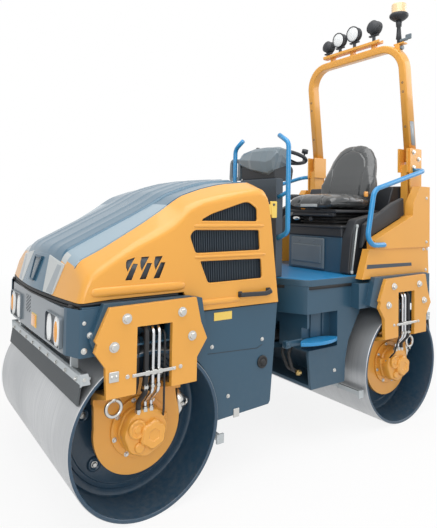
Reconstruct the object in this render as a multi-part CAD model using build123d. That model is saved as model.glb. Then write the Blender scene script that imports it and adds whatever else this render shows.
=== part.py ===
from build123d import *
import os

os.makedirs("parts", exist_ok=True)

# Articulated tandem roller. Millimetres, +X forward, +Y to the machine's left, +Z up,
# origin on the ground midway between the two drums.

# ---- driving dimensions -------------------------------------------------------------
wheelbase = 2000.0            # between the drum axes
drumRadius = 400.0
drumWidth = 1300.0
drumWall = 20.0               # shell thickness
webThickness = 20.0           # disc that joins the shell to its hub
webInset = 230.0              # from the drum's end to the web's outer face
hubRadius = 105.0
shaftRadius = 35.0            # stub shaft that turns in the motor
runningGap = 0.05             # radial clearance of a turning shaft

sideClear = 6.0               # fork plate to drum end
forkThickness = 26.0
forkInset = 131.0             # lower plate's inward step from the upper plate's inner face
lowerPlateRadius = 235.0
motorRadius = 112.0
motorLength = 100.0

pivotHeight = 620.0           # oscillation axis above the ground
pinRadius = 30.0              # vertical articulation pin
lugThickness = 40.0
linkRadius = 65.0             # centre link's barrel
linkHeight = 110.0
linkShaftRadius = 45.0        # oscillation shaft
swingClear = 8.0              # between lugs and barrel, and at the shaft's ends

rearWallX = -440.0            # rear frame's cross wall, which carries the yoke
plateThickness = 20.0
deckHeight = 1050.0
deckThickness = 45.0
operatorSide = 165.0          # seat and console sit this far left of the middle

hoodWall = 25.0
noseX = 1340.0                # front wall of the front frame

ropsX = -1305.0               # middle of the posts
ropsDepth = 110.0
ropsThickness = 60.0
ropsInset = 75.0              # from the deck's side to the middle of a post
ropsTop = 2830.0
ropsJoint = 1890.0            # where the folding part begins
ropsPivotX = -1335.0
ropsPivotZ = 1930.0

railRadius = 16.0
pipeRadius = 9.0

drumHalf = drumWidth / 2
frontX = wheelbase / 2
rearX = -wheelbase / 2
plateInner = drumHalf + sideClear
plateOuter = plateInner + forkThickness
lowerInner = plateInner - forkInset - forkThickness
lowerOuter = lowerInner + forkThickness
webOuter = drumHalf - webInset
chassisHalf = plateInner - 36         # outer face of the frame's upper side plates
hoodHalf = chassisHalf - 8
deckHalf = chassisHalf - 60
bodyHalf = deckHalf - 10
ropsHalf = deckHalf - ropsInset
hoodFront = noseX + 45
hoodHingeX = noseX + 12               # hood's hinge, across the nose
hoodHingeZ = 1038.0


# ---- small makers -------------------------------------------------------------------
def box(x0, x1, y0, y1, z0, z1):
    return Pos((x0 + x1) / 2, (y0 + y1) / 2, (z0 + z1) / 2) * Box(x1 - x0, y1 - y0, z1 - z0)


def sidePlate(points, y0, y1):
    """Outline in x, z carried along y."""
    plane = Plane((0, y1, 0), x_dir=(1, 0, 0), z_dir=(0, -1, 0))
    return extrude(plane * make_face(Polyline(*points, close=True)), y1 - y0)


def flatPlate(points, z0, z1):
    """Outline in x, y carried along z."""
    return extrude(Plane((0, 0, z0)) * make_face(Polyline(*points, close=True)), z1 - z0)


def crossPlate(points, x0, x1):
    """Outline in y, z carried along x."""
    plane = Plane((x0, 0, 0), x_dir=(0, 1, 0), z_dir=(1, 0, 0))
    return extrude(plane * make_face(Polyline(*points, close=True)), x1 - x0)


def rodX(x0, x1, y, z, r):
    return Pos((x0 + x1) / 2, y, z) * Rot(0, 90, 0) * Cylinder(r, x1 - x0)


def rodY(x, y0, y1, z, r):
    return Pos(x, (y0 + y1) / 2, z) * Rot(90, 0, 0) * Cylinder(r, y1 - y0)


def rodZ(x, y, z0, z1, r):
    return Pos(x, y, (z0 + z1) / 2) * Cylinder(r, z1 - z0)


def tube(points, bends, r):
    path = FilletPolyline(*points, radius=bends)
    return sweep(Plane(path @ 0, z_dir=path % 0) * Circle(r), path=path)


def mirrored(shape):
    return mirror(shape, about=Plane.XZ)


def both(shape):
    return Compound(children=[shape, mirrored(shape)])


def group(shapes):
    solids = []
    for shape in shapes:
        solids += list(shape.solids())
    return Compound(children=solids)


def save(name, shape):
    export_step(shape, "parts/" + name + ".step")


# ---- drums --------------------------------------------------------------------------
def drumShell(x):
    shell = rodY(x, -drumHalf, drumHalf, drumRadius, drumRadius)
    shell -= rodY(x, -drumHalf, drumHalf, drumRadius, drumRadius - drumWall)
    for y in (webOuter, -webOuter + webThickness):
        shell += rodY(x, y - webThickness, y, drumRadius, drumRadius - drumWall)
    return shell


def drumHub(x):
    hub = rodY(x, webOuter, lowerInner - swingClear, drumRadius, hubRadius)
    hub += rodY(x, lowerInner - swingClear, lowerOuter + 40.0, drumRadius, shaftRadius)
    return hub


for end, x in (("front", frontX), ("rear", rearX)):
    save(end + "_drum", drumShell(x) + drumHub(x) + mirrored(drumHub(x)))

# ---- forks: one per drum end --------------------------------------------------------
# Upper plate outline as (forward of the axis, height); the notch is the pipe window.
forkOutline = [
    (232, 1030), (298, 887), (288, 871), (300, 836), (247, 762), (241, 632),
    (93, 632), (93, 930), (-95, 930), (-95, 632),
    (-241, 632), (-241, 741), (-300, 828), (-262, 915), (-232, 1040),
]
legs = [(93, 241), (-241, -95)]       # from, to: the two legs' places along x
lowerTop = 632.0


def fork(x, turn):
    """turn is +1 where the outline's forward side faces +X."""
    upper = sidePlate([(x + turn * dx, z) for dx, z in forkOutline], plateInner, plateOuter)
    lower = rodY(x, lowerInner, lowerOuter, drumRadius, lowerPlateRadius)
    shoulders = [(232, 400), (238, 560), (215, 606), (93, 606), (-95, 606), (-200, 606), (-232, 400)]
    lower += sidePlate([(x + turn * dx, z) for dx, z in shoulders], lowerInner, lowerOuter)
    plate = upper + lower
    for dx0, dx1 in legs:
        x0, x1 = sorted((x + turn * dx0, x + turn * dx1))
        bend = [
            (plateOuter, lowerTop), (plateOuter, lowerTop - 12), (lowerOuter, lowerTop - 60),
            (lowerOuter, lowerTop - 90), (lowerInner, lowerTop - 90), (lowerInner, lowerTop - 26),
            (plateInner, lowerTop),
        ]
        plate += crossPlate(bend, x0, x1)
    plate -= rodY(x, lowerInner, lowerOuter, drumRadius, shaftRadius + 10)
    return plate


save("front_fork_left", fork(frontX, 1))
save("front_fork_right", mirrored(fork(frontX, 1)))
save("rear_fork_left", fork(rearX, 1))
save("rear_fork_right", mirrored(fork(rearX, 1)))


def motor(x):
    body = rodY(x, lowerOuter, lowerOuter + 35, drumRadius, motorRadius + 22)
    body += rodY(x, lowerOuter + 35, lowerOuter + motorLength, drumRadius, motorRadius)
    body += rodY(x - 15, lowerOuter + motorLength, lowerOuter + motorLength + 28, drumRadius, 48)
    body += box(x - 62, x + 62, lowerOuter, lowerOuter + 82, drumRadius + 60, drumRadius + 128)
    body -= rodY(x, lowerOuter, lowerOuter + 45, drumRadius, shaftRadius + runningGap)
    return body


pipePlaces = (-36.0, 0.0, 36.0)
pipeOut = (plateInner + plateOuter) / 2
pipeTop = 895.0
pipeFoot = drumRadius + 128.0
pipeLean = 62.0                       # lower ends stand this far in from the window


def pipes(x):
    made = []
    for dx in pipePlaces:
        route = [
            (x + dx, chassisHalf - 55, pipeTop), (x + dx, pipeOut, pipeTop),
            (x + dx, pipeOut, lowerTop), (x + dx, pipeOut - pipeLean, lowerTop - 60),
            (x + dx, pipeOut - pipeLean, pipeFoot),
        ]
        made.append(tube(route, [42, 40, 25], pipeRadius))
    clampBar = box(x - 93, x + 93, plateInner, pipeOut - pipeRadius, 700, 722)
    made.append(clampBar)
    return made


for end, x in (("front", frontX), ("rear", rearX)):
    save(end + "_drum_motors", both(motor(x)))
    save(end + "_hydraulic_pipes", group([both(p) for p in pipes(x)]))

# tie-downs: a ring under one leg of each fork and a lug with a hole on its lower plate
ringRadius = 38.0
ringWire = 9.0
lugPlace = (-268, 462)                # the lug's hole, from the axis and above the ground
lugHoleRadius = 12.0
lugRadius = 26.0


def tieRing(x, legX):
    ring = Pos(x + legX, lowerOuter + 68, lowerTop - 92) * Rot(90, 0, 0) * Torus(ringRadius, ringWire)
    stem = rodZ(x + legX, lowerOuter + 68, lowerTop - 60, lowerTop - 20, 12)
    return ring + stem - fork(x, 1)


def tieLug(x):
    arm = [(-225, 540), (lugPlace[0] - 10, lugPlace[1] + 24), (lugPlace[0], lugPlace[1] - 24), (-225, 385)]
    lug = sidePlate([(x + dx, z) for dx, z in arm], lowerInner, lowerOuter)
    lug += rodY(x + lugPlace[0], lowerInner, lowerOuter, lugPlace[1], lugRadius)
    lug -= rodY(x + lugPlace[0], lowerInner, lowerOuter, lugPlace[1], lugHoleRadius)
    return lug - fork(x, 1)


for end, x, legX in (("front", frontX, 165), ("rear", rearX, -165)):
    save(end + "_tie_downs", group([both(tieRing(x, legX)), both(tieLug(x))]))

# ---- front frame --------------------------------------------------------------------
frameTop = 1040.0
frameFloor = 838.0                    # clears the drum below it
innerHalf = chassisHalf - plateThickness
frontWallX = 330.0                    # rear cross wall of the front frame
panelHalf = chassisHalf - 20          # lower side panels' outer face
panelInner = panelHalf - 16.0

panelEnd = 722.0                      # the lower side panels' forward end
frontRail = [
    (panelEnd, 945), (panelEnd, frameFloor), (noseX, frameFloor), (noseX, 1030),
    (790, 1030), (750, 945),
]
mountPad = [(718, 1030), (690, 880), (720, 836), (1290, 836), (1312, 880), (1250, 1045), (790, 1045)]
windowHole = [(frontX - 95, 845), (frontX + 95, 845), (frontX + 95, 932), (frontX - 95, 932)]


def frontSide():
    side = sidePlate(frontRail, innerHalf, chassisHalf)
    side += sidePlate(mountPad, chassisHalf, plateInner)
    side -= sidePlate([(x, z) for x, z in windowHole], innerHalf, plateInner)
    return side


hingeY = 400.0
hingeKnuckle = 11.0
hingePinRadius = 6.0
housingOuter = 75.0
housingStart = 118.0
wallLow = 440.0
frontChassis = frontSide() + mirrored(frontSide())
floorTop = frameFloor + plateThickness
frontChassis += box(frontWallX, panelEnd, -panelInner, panelInner, frameFloor, floorTop)
frontChassis += box(panelEnd, noseX, -innerHalf, innerHalf, frameFloor, floorTop)
frontChassis += box(noseX - plateThickness, noseX, -innerHalf, innerHalf, frameFloor, 1030)
frontWallFace = frontWallX + plateThickness
frontChassis += box(frontWallX, frontWallFace, -panelInner, panelInner, wallLow, 945)
frontChassis += rodX(housingStart, frontWallX, 0, pivotHeight, housingOuter)
frontChassis -= rodX(housingStart, frontWallX + 20, 0, pivotHeight, linkShaftRadius + runningGap)
block = box(frontX - 60, frontX + 60, chassisHalf - 95, chassisHalf - 55, frameFloor, pipeTop + 20)
frontChassis += block
frontChassis += mirrored(block)
for y0 in (hingeY - 16, hingeY + 6):
    ear = box(noseX - plateThickness + 4, hoodHingeX, y0, y0 + 10, hoodHingeZ - 24, hoodHingeZ + 11)
    ear += rodY(hoodHingeX, y0, y0 + 10, hoodHingeZ, hingeKnuckle)
    frontChassis += ear
    frontChassis += mirrored(ear)
hingePin = rodY(hoodHingeX, hingeY - 20, hingeY + 20, hoodHingeZ, hingePinRadius)
frontChassis += hingePin
frontChassis += mirrored(hingePin)
save("front_chassis", frontChassis)

# lower side panels: from the hood's edge down beside the drum
archClear = 70.0
archRadius = drumRadius + archClear


def frontPanel():
    outline = [(150, 943), (200, 362), (562, 351), (562, 945)]
    panel = sidePlate(outline, panelInner, panelHalf)
    flap = [(500, 945), (panelEnd, 945), (panelEnd, frameFloor), (500, frameFloor)]
    panel += sidePlate(flap, panelInner, panelHalf)
    panel -= rodY(frontX, panelInner - 4, panelHalf + 4, drumRadius, archRadius)
    return panel


save("front_side_panels", both(frontPanel()))

engine = box(420, 980, -270, 270, frameFloor + plateThickness, 1330)
save("engine_block", engine)

# bumper with its lamp recesses
bumperHalf = 525.0
bumper = flatPlate(
    [(noseX, -bumperHalf), (hoodFront - 15, -bumperHalf), (hoodFront, -bumperHalf + 60),
     (hoodFront, bumperHalf - 60), (hoodFront - 15, bumperHalf), (noseX, bumperHalf)], 800, 1012)
save("front_bumper", bumper)

lampTable = [(300, 885, 26, 64), (425, 905, 22, 60)]   # y, z, half width, half height
lampDepth = 10.0


def oval(y, z, halfWide, halfTall, x0, depth):
    face = Plane((x0, y, z), x_dir=(0, 1, 0), z_dir=(1, 0, 0)) * Ellipse(halfWide, halfTall)
    return extrude(face, depth)


lamps = [both(oval(y, z, w, h, hoodFront, lampDepth)) for y, z, w, h in lampTable]
save("front_lamps", group(lamps))


# Scrapers: a blade across each drum, before and behind. turn is the tip's place around the
# drum in degrees from +X, lean the blade's slope; the arms reach from it to the frame.
bladeClear = 6.0
bladeThick = 10.0
bladeWide = 70.0


def scraper(x, turn, lean, half, arms):
    radial = Vector(1, 0, 0).rotate(Axis.Y, -turn)
    along = Vector(1, 0, 0).rotate(Axis.Y, -lean)
    across = Vector(1, 0, 0).rotate(Axis.Y, -lean + 90)
    if across.dot(radial) < 0:
        across = across * -1
    tip = Vector(x, 0, drumRadius) + radial * (drumRadius + bladeClear)
    back = tip + across * bladeThick
    corners = [tip, back, back + along * bladeWide, tip + along * bladeWide]
    blade = sidePlate([(c.X, c.Z) for c in corners], -half, half)
    for x0, x1, z0, z1 in arms:
        arm = box(x0, x1, 470, 490, z0, z1)
        blade += arm
        blade += mirrored(arm)
    return blade


outerTurn = 46.0
innerTurn = 172.0
outerHalf = drumHalf - 10.0
innerHalfBlade = panelInner - 9.0     # the inner blades pass between the side panels
frontOuter = scraper(frontX, outerTurn, 20, outerHalf, [(noseX - 40, noseX, 704, frameFloor)])
frontInner = scraper(frontX, innerTurn, 150, innerHalfBlade, [(frontWallFace, frontX - 425, 462, 486)])
rearInnerHalf = bodyHalf - 29
rearInner = scraper(rearX, 180 - innerTurn, 30, rearInnerHalf, [(rearX + 425, rearWallX - 20, 462, 486)])
rearOuter = scraper(rearX, 180 - outerTurn, 160, outerHalf, [(-noseX, 40 - noseX, 704, frameFloor)])
save("front_scrapers", group([frontOuter, frontInner]))
save("rear_scrapers", group([rearInner, rearOuter]))

# ---- hood ---------------------------------------------------------------------------
# Stations: x, then heights at the side, at the shoulder and at the middle panel's edge.
hoodStations = [
    (hoodFront, 1085, 1130, 1150), (noseX, 1130, 1200, 1232),
    (1240, 1203, 1258, 1300), (1110, 1285, 1336, 1366),
    (940, 1365, 1432, 1452), (840, 1422, 1500, 1506),
    (770, 1500, 1545, 1545), (500, 1558, 1628, 1630),
    (300, 1602, 1650, 1655), (140, 1602, 1650, 1655),
]
shoulderInset = 140.0
middleHalf = 300.0
noseTaper = 60.0


def hoodSection(station, wall):
    x, side, shoulder, middle = station
    half = hoodHalf - wall
    if x > noseX:
        half -= noseTaper
    inner = half - shoulderInset
    low = 900
    points = [
        (-half, low), (-half, side - wall), (-inner, shoulder - wall), (-middleHalf, middle - wall),
        (middleHalf, middle - wall), (inner, shoulder - wall), (half, side - wall), (half, low),
    ]
    return Plane((x, 0, 0), x_dir=(0, 1, 0), z_dir=(1, 0, 0)) * make_face(Polyline(*points, close=True))


hoodSide = [
    (155, 951), (218, 1430), (236, 1546), (297, 1606), (400, 1700), (1500, 1700), (1500, 1048),
    (1360, 1048), (800, 1066), (746, 953),
]
outer = loft([hoodSection(s, 0) for s in hoodStations], ruled=True)
outer = outer & sidePlate(hoodSide, -700, 700)
hollowSide = [
    (155 + hoodWall, 800), (218 + hoodWall, 1430), (236 + hoodWall, 1536), (310, 1580), (420, 1700),
    (hoodFront - hoodWall, 1700), (hoodFront - hoodWall, 800),
]
hollow = loft([hoodSection((s[0], s[1], s[2], s[3]), hoodWall) for s in hoodStations], ruled=True)
hollow = hollow & sidePlate(hollowSide, -700, 700)
hood = outer - hollow
hood -= box(100, 1500, -hoodHalf + hoodWall, hoodHalf - hoodWall, 800, 960)

windows = [
    [(692, 1418), (316, 1416), (325, 1498), (391, 1531)],
    [(777, 1346), (747, 1382), (301, 1378), (291, 1253), (738, 1249)],
    [(713, 1217), (283, 1215), (273, 1092), (656, 1088)],
]
for outline in windows:
    hood -= sidePlate(outline, hoodHalf - hoodWall - 1, hoodHalf + 1)
    hood -= sidePlate(outline, -hoodHalf - 1, -hoodHalf + hoodWall + 1)
lugEnd = hoodFront - hoodWall + 2
lug = box(hoodHingeX - hingeKnuckle, lugEnd, hingeY - 5, hingeY + 5, hoodHingeZ, hoodHingeZ + 60)
lug += rodY(hoodHingeX, hingeY - 5, hingeY + 5, hoodHingeZ, hingeKnuckle)
lug -= rodY(hoodHingeX, hingeY - 6, hingeY + 6, hoodHingeZ, hingePinRadius + runningGap)
hood += lug
hood += mirrored(lug)
save("hood", hood)


def topSection(station):
    x, side, shoulder, middle = station
    half = hoodHalf - shoulderInset
    if x > noseX:
        half -= noseTaper
    points = [
        (-half, shoulder), (-middleHalf, middle), (middleHalf, middle), (half, shoulder),
        (half - 4, shoulder + 6), (middleHalf, middle + 9),
        (-middleHalf, middle + 9), (-half + 4, shoulder + 6),
    ]
    return Plane((x, 0, 0), x_dir=(0, 1, 0), z_dir=(1, 0, 0)) * make_face(Polyline(*points, close=True))


save("hood_top_panel", loft([topSection(s) for s in hoodStations[:-1]], ruled=True))

grilleY = hoodHalf - hoodWall
grilleOutline = [(795, 1400), (700, 1440), (395, 1550), (300, 1520), (250, 1070), (670, 1070)]
save("hood_grilles", both(sidePlate(grilleOutline, grilleY - 12, grilleY)))


def hoodHandle():
    bar = box(230, 434, hoodHalf + 22, hoodHalf + 36, 1016, 1036)
    for x in (230, 420):
        bar += box(x, x + 14, hoodHalf, hoodHalf + 22, 1016, 1036)
    return bar


save("hood_handles", both(hoodHandle()))

# ---- articulation -------------------------------------------------------------------
linkLow = pivotHeight - linkHeight / 2
linkHigh = pivotHeight + linkHeight / 2
armPlace = (50.0, 170.0)              # rod eye's centre on the steering arm
armPlate = 15.0
eyeThickness = 60.0
eyeGap = 9.0
cylinderPin = (-400.0, 190.0)         # barrel's hinge on the rear frame
armInner = pivotHeight + eyeThickness / 2 + eyeGap

link = rodZ(0, 0, linkLow, linkHigh, linkRadius)
link += rodX(0, frontWallX + 15, 0, pivotHeight, linkShaftRadius)
armOutline = [(-45, 0), (55, 0), (100, 160), (85, 225), (15, 225), (-20, 160)]
for z0 in (armInner, 2 * pivotHeight - armInner - armPlate):
    link += flatPlate(armOutline, z0, z0 + armPlate)
link -= rodZ(0, 0, linkLow - 1, linkHigh + 1, pinRadius + runningGap)
save("centre_link", link)

lugLow = linkLow - swingClear - lugThickness
lugHigh = linkHigh + swingClear
pin = rodZ(0, 0, lugLow - 12, lugHigh + lugThickness + 12, pinRadius)
save("articulation_pin", pin)

barrelStart = 24.0                    # along the cylinder from its pin
boreStart = 62.0
boreEnd = 286.0
barrelLength = 306.0
pistonStart = 160.0
pistonThickness = 22.0
strokeAngle = Vector(armPlace[0] - cylinderPin[0], armPlace[1] - cylinderPin[1], 0)
cylinderAxis = strokeAngle.normalized()
pinPoint = (cylinderPin[0], cylinderPin[1], pivotHeight)
cylinderPlane = Plane(pinPoint, x_dir=(0, 0, 1), z_dir=tuple(cylinderAxis))
barrelRadius = 34.0
boreRadius = 24.0
rodRadius = 16.0
eyeRadius = 28.0
strokeLength = strokeAngle.length

barrel = extrude(cylinderPlane * Circle(barrelRadius), barrelLength)
barrel -= extrude(cylinderPlane.offset(boreStart) * Circle(boreRadius), boreEnd - boreStart)
barrel -= extrude(cylinderPlane.offset(boreStart) * Circle(rodRadius + runningGap), barrelLength)
barrel = barrel & box(-700, 300, -50, 400, pivotHeight - 40, pivotHeight + 40)
eyeLow = pivotHeight - eyeThickness / 2
eyeHigh = pivotHeight + eyeThickness / 2
barrelEye = rodZ(cylinderPin[0], cylinderPin[1], eyeLow, eyeHigh, 32)
trim = rodZ(cylinderPin[0], cylinderPin[1], pivotHeight - 60, pivotHeight + 60, 56)
barrel = (barrel - trim) + barrelEye
neck = Rectangle(eyeThickness, 40)
barrel += extrude(cylinderPlane.offset(barrelStart) * neck, boreStart - barrelStart)
barrel -= rodZ(cylinderPin[0], cylinderPin[1], pivotHeight - 60, pivotHeight + 60, 14 + runningGap)
save("steering_cylinder_barrel", barrel)

rod = extrude(cylinderPlane.offset(pistonStart) * Circle(boreRadius - runningGap), pistonThickness)
rod += extrude(cylinderPlane.offset(pistonStart) * Circle(rodRadius), strokeLength - pistonStart - 15)
rod += rodZ(armPlace[0], armPlace[1], eyeLow, eyeHigh, eyeRadius)
rod -= rodZ(armPlace[0], armPlace[1], pivotHeight - 40, pivotHeight + 40, 14)
save("steering_cylinder_rod", rod)

# ---- rear frame ---------------------------------------------------------------------
deckUnder = deckHeight - deckThickness
rearTop = deckHeight - 20
lowerFront = -170.0                   # front wall of the body below the nose of the deck
upperLow = 830.0                      # underside of the part that reaches forward
nicheDepth = 70.0                     # the step's recess in each side
nicheLow = 600.0
nicheEnd = -430.0
rearRail = [
    (-690, rearTop), (-627, 857), (-640, frameFloor), (-1380, frameFloor), (-1380, rearTop),
]
rearPad = [(-681, 1045), (-627, 858), (-690, 836), (-1290, 836), (-1318, 880), (-1289, 1045)]
rearHole = [(rearX - 95, 845), (rearX + 95, 845), (rearX + 95, 932), (rearX - 95, 932)]
bodySide = [
    (-165, deckUnder), (-165, nicheLow - 40), (-190, 352), (-505, 352), (-512, 500), (-540, 620),
    (-600, 722), (-690, 860), (-690, deckUnder),
]
wallLimit = bodyHalf - 20


def rearSide():
    side = sidePlate(rearRail, innerHalf, chassisHalf)
    side += sidePlate(rearPad, chassisHalf, plateInner)
    side -= sidePlate(rearHole, innerHalf, plateInner)
    return side


def bodyPlan(half, setBack):
    """Plan of the body's nose, with corners clipped so that it swings past the hood."""
    right = [(-150 - setBack, -half), (-112 - setBack, 65 - half), (-50 - setBack, 200 - half)]
    return right + [(x, -y) for x, y in reversed(right)] + [(-300, half), (-300, -half)]


nose = flatPlate(bodyPlan(bodyHalf, 0), upperLow, deckUnder)
nose -= flatPlate(bodyPlan(wallLimit, plateThickness), upperLow + 12, deckUnder)
nose -= box(-300, lowerFront, -wallLimit, wallLimit, upperLow, deckUnder)
rearChassis = rearSide() + mirrored(rearSide()) + nose
rearChassis += box(-1380, -560, -innerHalf, innerHalf, frameFloor, frameFloor + plateThickness)
rearChassis += box(-1380, -1360, -innerHalf, innerHalf, frameFloor, rearTop)
rearChassis += box(-1380, -700, -innerHalf, innerHalf, deckUnder, rearTop)
rearChassis += box(rearWallX - 20, rearWallX, -wallLimit, wallLimit, 352, deckUnder)
rearChassis += box(rearWallX, -195, -wallLimit, wallLimit, 352, 372)
rearChassis += box(-560, rearWallX, -wallLimit, wallLimit, frameFloor, frameFloor + plateThickness)
wallOverYoke = lugHigh + lugThickness + 12
rearChassis += box(lowerFront - 20, lowerFront, -wallLimit, wallLimit, wallOverYoke, upperLow + 12)


def rearFlank():
    side = sidePlate(bodySide, wallLimit, bodyHalf)
    side -= box(nicheEnd, 0, wallLimit, bodyHalf, nicheLow, upperLow)
    tie = [(-560, 838), (-720, 838), (-720, deckUnder), (-560, deckUnder)]
    side += sidePlate(tie, bodyHalf, chassisHalf)
    niche = bodyHalf - nicheDepth
    side += box(nicheEnd - 12, lowerFront, niche - 12, niche, nicheLow - 12, upperLow + 12)
    side += box(nicheEnd - 12, nicheEnd, niche, wallLimit, nicheLow - 12, upperLow + 12)
    side += box(nicheEnd - 12, lowerFront, niche, wallLimit, nicheLow - 12, nicheLow)
    side += box(lowerFront - 20, lowerFront, 270, niche, nicheLow - 12, upperLow + 12)
    return side


rearChassis += rearFlank()
rearChassis += mirrored(rearFlank())
blockR = box(rearX - 60, rearX + 60, chassisHalf - 95, chassisHalf - 55, frameFloor, pipeTop + 20)
rearChassis += blockR
rearChassis += mirrored(blockR)
save("rear_chassis", rearChassis)

# the yoke that carries the pin and the cylinder, bolted to the rear frame's cross wall
yokeBack = rearWallX + 14
yoke = box(rearWallX, yokeBack, -205, 235, lugLow - 20, lugHigh + lugThickness + 10)
lugOutline = [(yokeBack, -200), (0, -70), (50, -50), (70, 0), (50, 50), (0, 70), (yokeBack, 200)]
for z0 in (lugLow, lugHigh):
    yoke += flatPlate(lugOutline, z0, z0 + lugThickness)
yoke += box(yokeBack, -linkRadius - 20, -10, 10, lugLow, lugHigh + lugThickness)
for z0 in (armInner, 2 * pivotHeight - armInner - armPlate):
    yoke += box(yokeBack, cylinderPin[0] + 30, cylinderPin[1] - 35, cylinderPin[1] + 35, z0, z0 + armPlate)
yoke -= box(rearWallX, yokeBack, cylinderPin[1] - 45, cylinderPin[1] + 45, eyeLow - eyeGap, eyeHigh + eyeGap)
yoke -= rodZ(0, 0, 400, 800, pinRadius)
yoke += rodZ(cylinderPin[0], cylinderPin[1], 2 * pivotHeight - armInner - armPlate, armInner + armPlate, 14)
save("rear_yoke", yoke)

# operator's deck, its front corners clipped so that it swings past the hood
deckCorner = [(-45, 210 - deckHalf), (-118, 65 - deckHalf), (-143, 22 - deckHalf), (-172, -deckHalf)]
deckBack = [(-700, -deckHalf), (-700, deckHalf)]
deckOutline = deckCorner + deckBack + [(x, -y) for x, y in reversed(deckCorner)]
deck = flatPlate(deckOutline, deckUnder, deckHeight)
save("operator_deck", deck)

treadTop = 662.0
treadEdge = 22.0


def stepPlate():
    niche = bodyHalf - nicheDepth
    out = bodyHalf + 42
    plan = [
        (-174, niche), (-174, niche + 20), (-160, bodyHalf + 15), (-200, out), (-370, out),
        (-408, bodyHalf + 20), (-420, niche),
    ]
    tread = flatPlate(plan, treadTop - treadEdge, treadTop)
    for x in (-390, -220):
        tread += box(x, x + 14, niche, niche + 50, nicheLow, treadTop - treadEdge)
    return tread


save("access_steps", both(stepPlate()))

# operator's station: heights are measured from the deck
seatBase = deckHeight + 450
pedestalTop = deckHeight + 255
dashLow = deckHeight + 650
pedestalX = -600.0
pedestal = box(-1000, pedestalX, operatorSide - 270, operatorSide + 270, deckHeight, pedestalTop)
save("seat_pedestal", pedestal)

suspension = box(-960, -610, operatorSide - 190, operatorSide + 190, pedestalTop, seatBase - 20)
suspension += box(-1060, -570, operatorSide - 215, operatorSide + 215, seatBase - 20, seatBase)
save("seat_suspension", suspension)
cushionOutline = [(-560, 0), (-540, 40), (-560, 90), (-940, 75), (-960, 0)]
cushionOutline = [(x, seatBase + z) for x, z in cushionOutline]
save("seat_cushion", sidePlate(cushionOutline, operatorSide - 235, operatorSide + 235))
backOutline = [(-964, 0), (-942, 78), (-1010, 460), (-1040, 490), (-1085, 475), (-1085, 400), (-1060, 0)]
backOutline = [(x, seatBase + z) for x, z in backOutline]
save("seat_backrest", sidePlate(backOutline, operatorSide - 235, operatorSide + 235))

consoleOuter = deckHalf - 45
consoleOutline = [
    (-590, pedestalTop), (-600, seatBase - 40), (-1000, seatBase), (-1000, deckHeight), (-620, deckHeight),
]
save("side_console", sidePlate(consoleOutline, operatorSide + 270, consoleOuter))

bulkheadHalf = 195.0
bulkhead = box(-105, -45, operatorSide - bulkheadHalf, operatorSide + bulkheadHalf, deckHeight, dashLow)
save("console_bulkhead", bulkhead)
dashOutline = [
    (-60, 0), (-30, 90), (-60, 190), (-95, 225), (-150, 212), (-168, 130), (-230, 70), (-215, 0),
]
dash = sidePlate([(x, dashLow + z) for x, z in dashOutline], operatorSide - 215, operatorSide + 215)
save("dashboard", dash)

wheelX = -315.0
wheelZ = deckHeight + 828
wheelY = operatorSide - 25
wheelRadius = 155.0
wheelWire = 13.0
wheelNormal = Vector(0, 0, 1).rotate(Axis.Y, -14)
wheelPlane = Plane((wheelX, wheelY, wheelZ), x_dir=(0, 1, 0), z_dir=tuple(wheelNormal))
columnTop = Vector(wheelX, wheelY, wheelZ) - wheelNormal * 30.3
columnBend = columnTop - wheelNormal * 56
columnEnd = Vector(-190, wheelY, columnBend.Z - 4)
column = tube([tuple(columnTop), tuple(columnBend), tuple(columnEnd)], [34], 24) - dash
save("steering_column", column)
wheel = wheelPlane * Torus(wheelRadius, wheelWire)
wheel += extrude(wheelPlane.offset(-30) * Circle(38), 34)
for angle in (90, 210, 330):
    wheel += wheelPlane * Rot(0, 0, angle) * Pos(wheelRadius / 2, 0, -6) * Box(wheelRadius - 10, 26, 8)
knobPlace = wheelPlane * Rot(0, 0, 75) * Pos(wheelRadius, 0, 0)
wheel += knobPlace * Pos(0, 0, 44) * Cylinder(6, 72)
wheel += knobPlace * Pos(0, 0, 86) * Cylinder(23, 26)
save("steering_wheel", wheel)

# handrails
railY = operatorSide + 285
railX = -65.0
railOut = 285.0                       # from the operator's middle to each rail


def frontRailTube(side):
    y = operatorSide + side * railOut
    wall = operatorSide + side * bulkheadHalf
    foot = deckHeight + 295
    top = deckHeight + 915
    inboard = y - side * 85
    route = [(railX, wall, foot), (railX, y, foot), (railX, y, top), (railX - 20, inboard, top),
             (railX - 20, inboard, top - 115)]
    rail = tube(route, [60, 45, 38], railRadius)
    rail += rodY(railX, min(wall, y), max(wall, y), deckHeight + 520, railRadius - 3)
    return rail - dash


save("front_handrails", group([frontRailTube(1), frontRailTube(-1)]))

# yellow side panels, the tank between them and the covers over the drum
panelMid = deckHeight + 182
tankTop = deckHeight + 650
lowerThick = 58.0
upperThick = 70.0
lowerPanel = [(-665, panelMid), (-594, rearTop), (-1372, rearTop), (-1362, panelMid)]
upperPanel = [
    (-712, panelMid), (-709, panelMid + 61), (-1148, panelMid + 236), (-1156, panelMid + 329),
    (-1243, panelMid + 455), (-1366, panelMid + 455), (-1366, panelMid),
]
panels = sidePlate(lowerPanel, deckHalf, deckHalf + lowerThick)
panels += sidePlate(upperPanel, deckHalf, deckHalf + upperThick)
save("rear_side_panels", both(panels))

postInner = ropsHalf - ropsThickness / 2
tankHalf = postInner - 17
tankOutline = [
    (-1100, rearTop), (-1100, tankTop - 200), (-1180, tankTop - 10), (-1370, tankTop), (-1370, rearTop),
]
tank = sidePlate(tankOutline, -tankHalf, tankHalf)
coverOutline = [(-665, 0), (-700, 168), (-1020, 328), (-1140, 368), (-1148, 238), (-712, 61)]
cover = sidePlate([(x, panelMid + z) for x, z in coverOutline], deckHalf - 40, deckHalf)
save("rear_covers", group([tank, both(cover)]))

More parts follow.
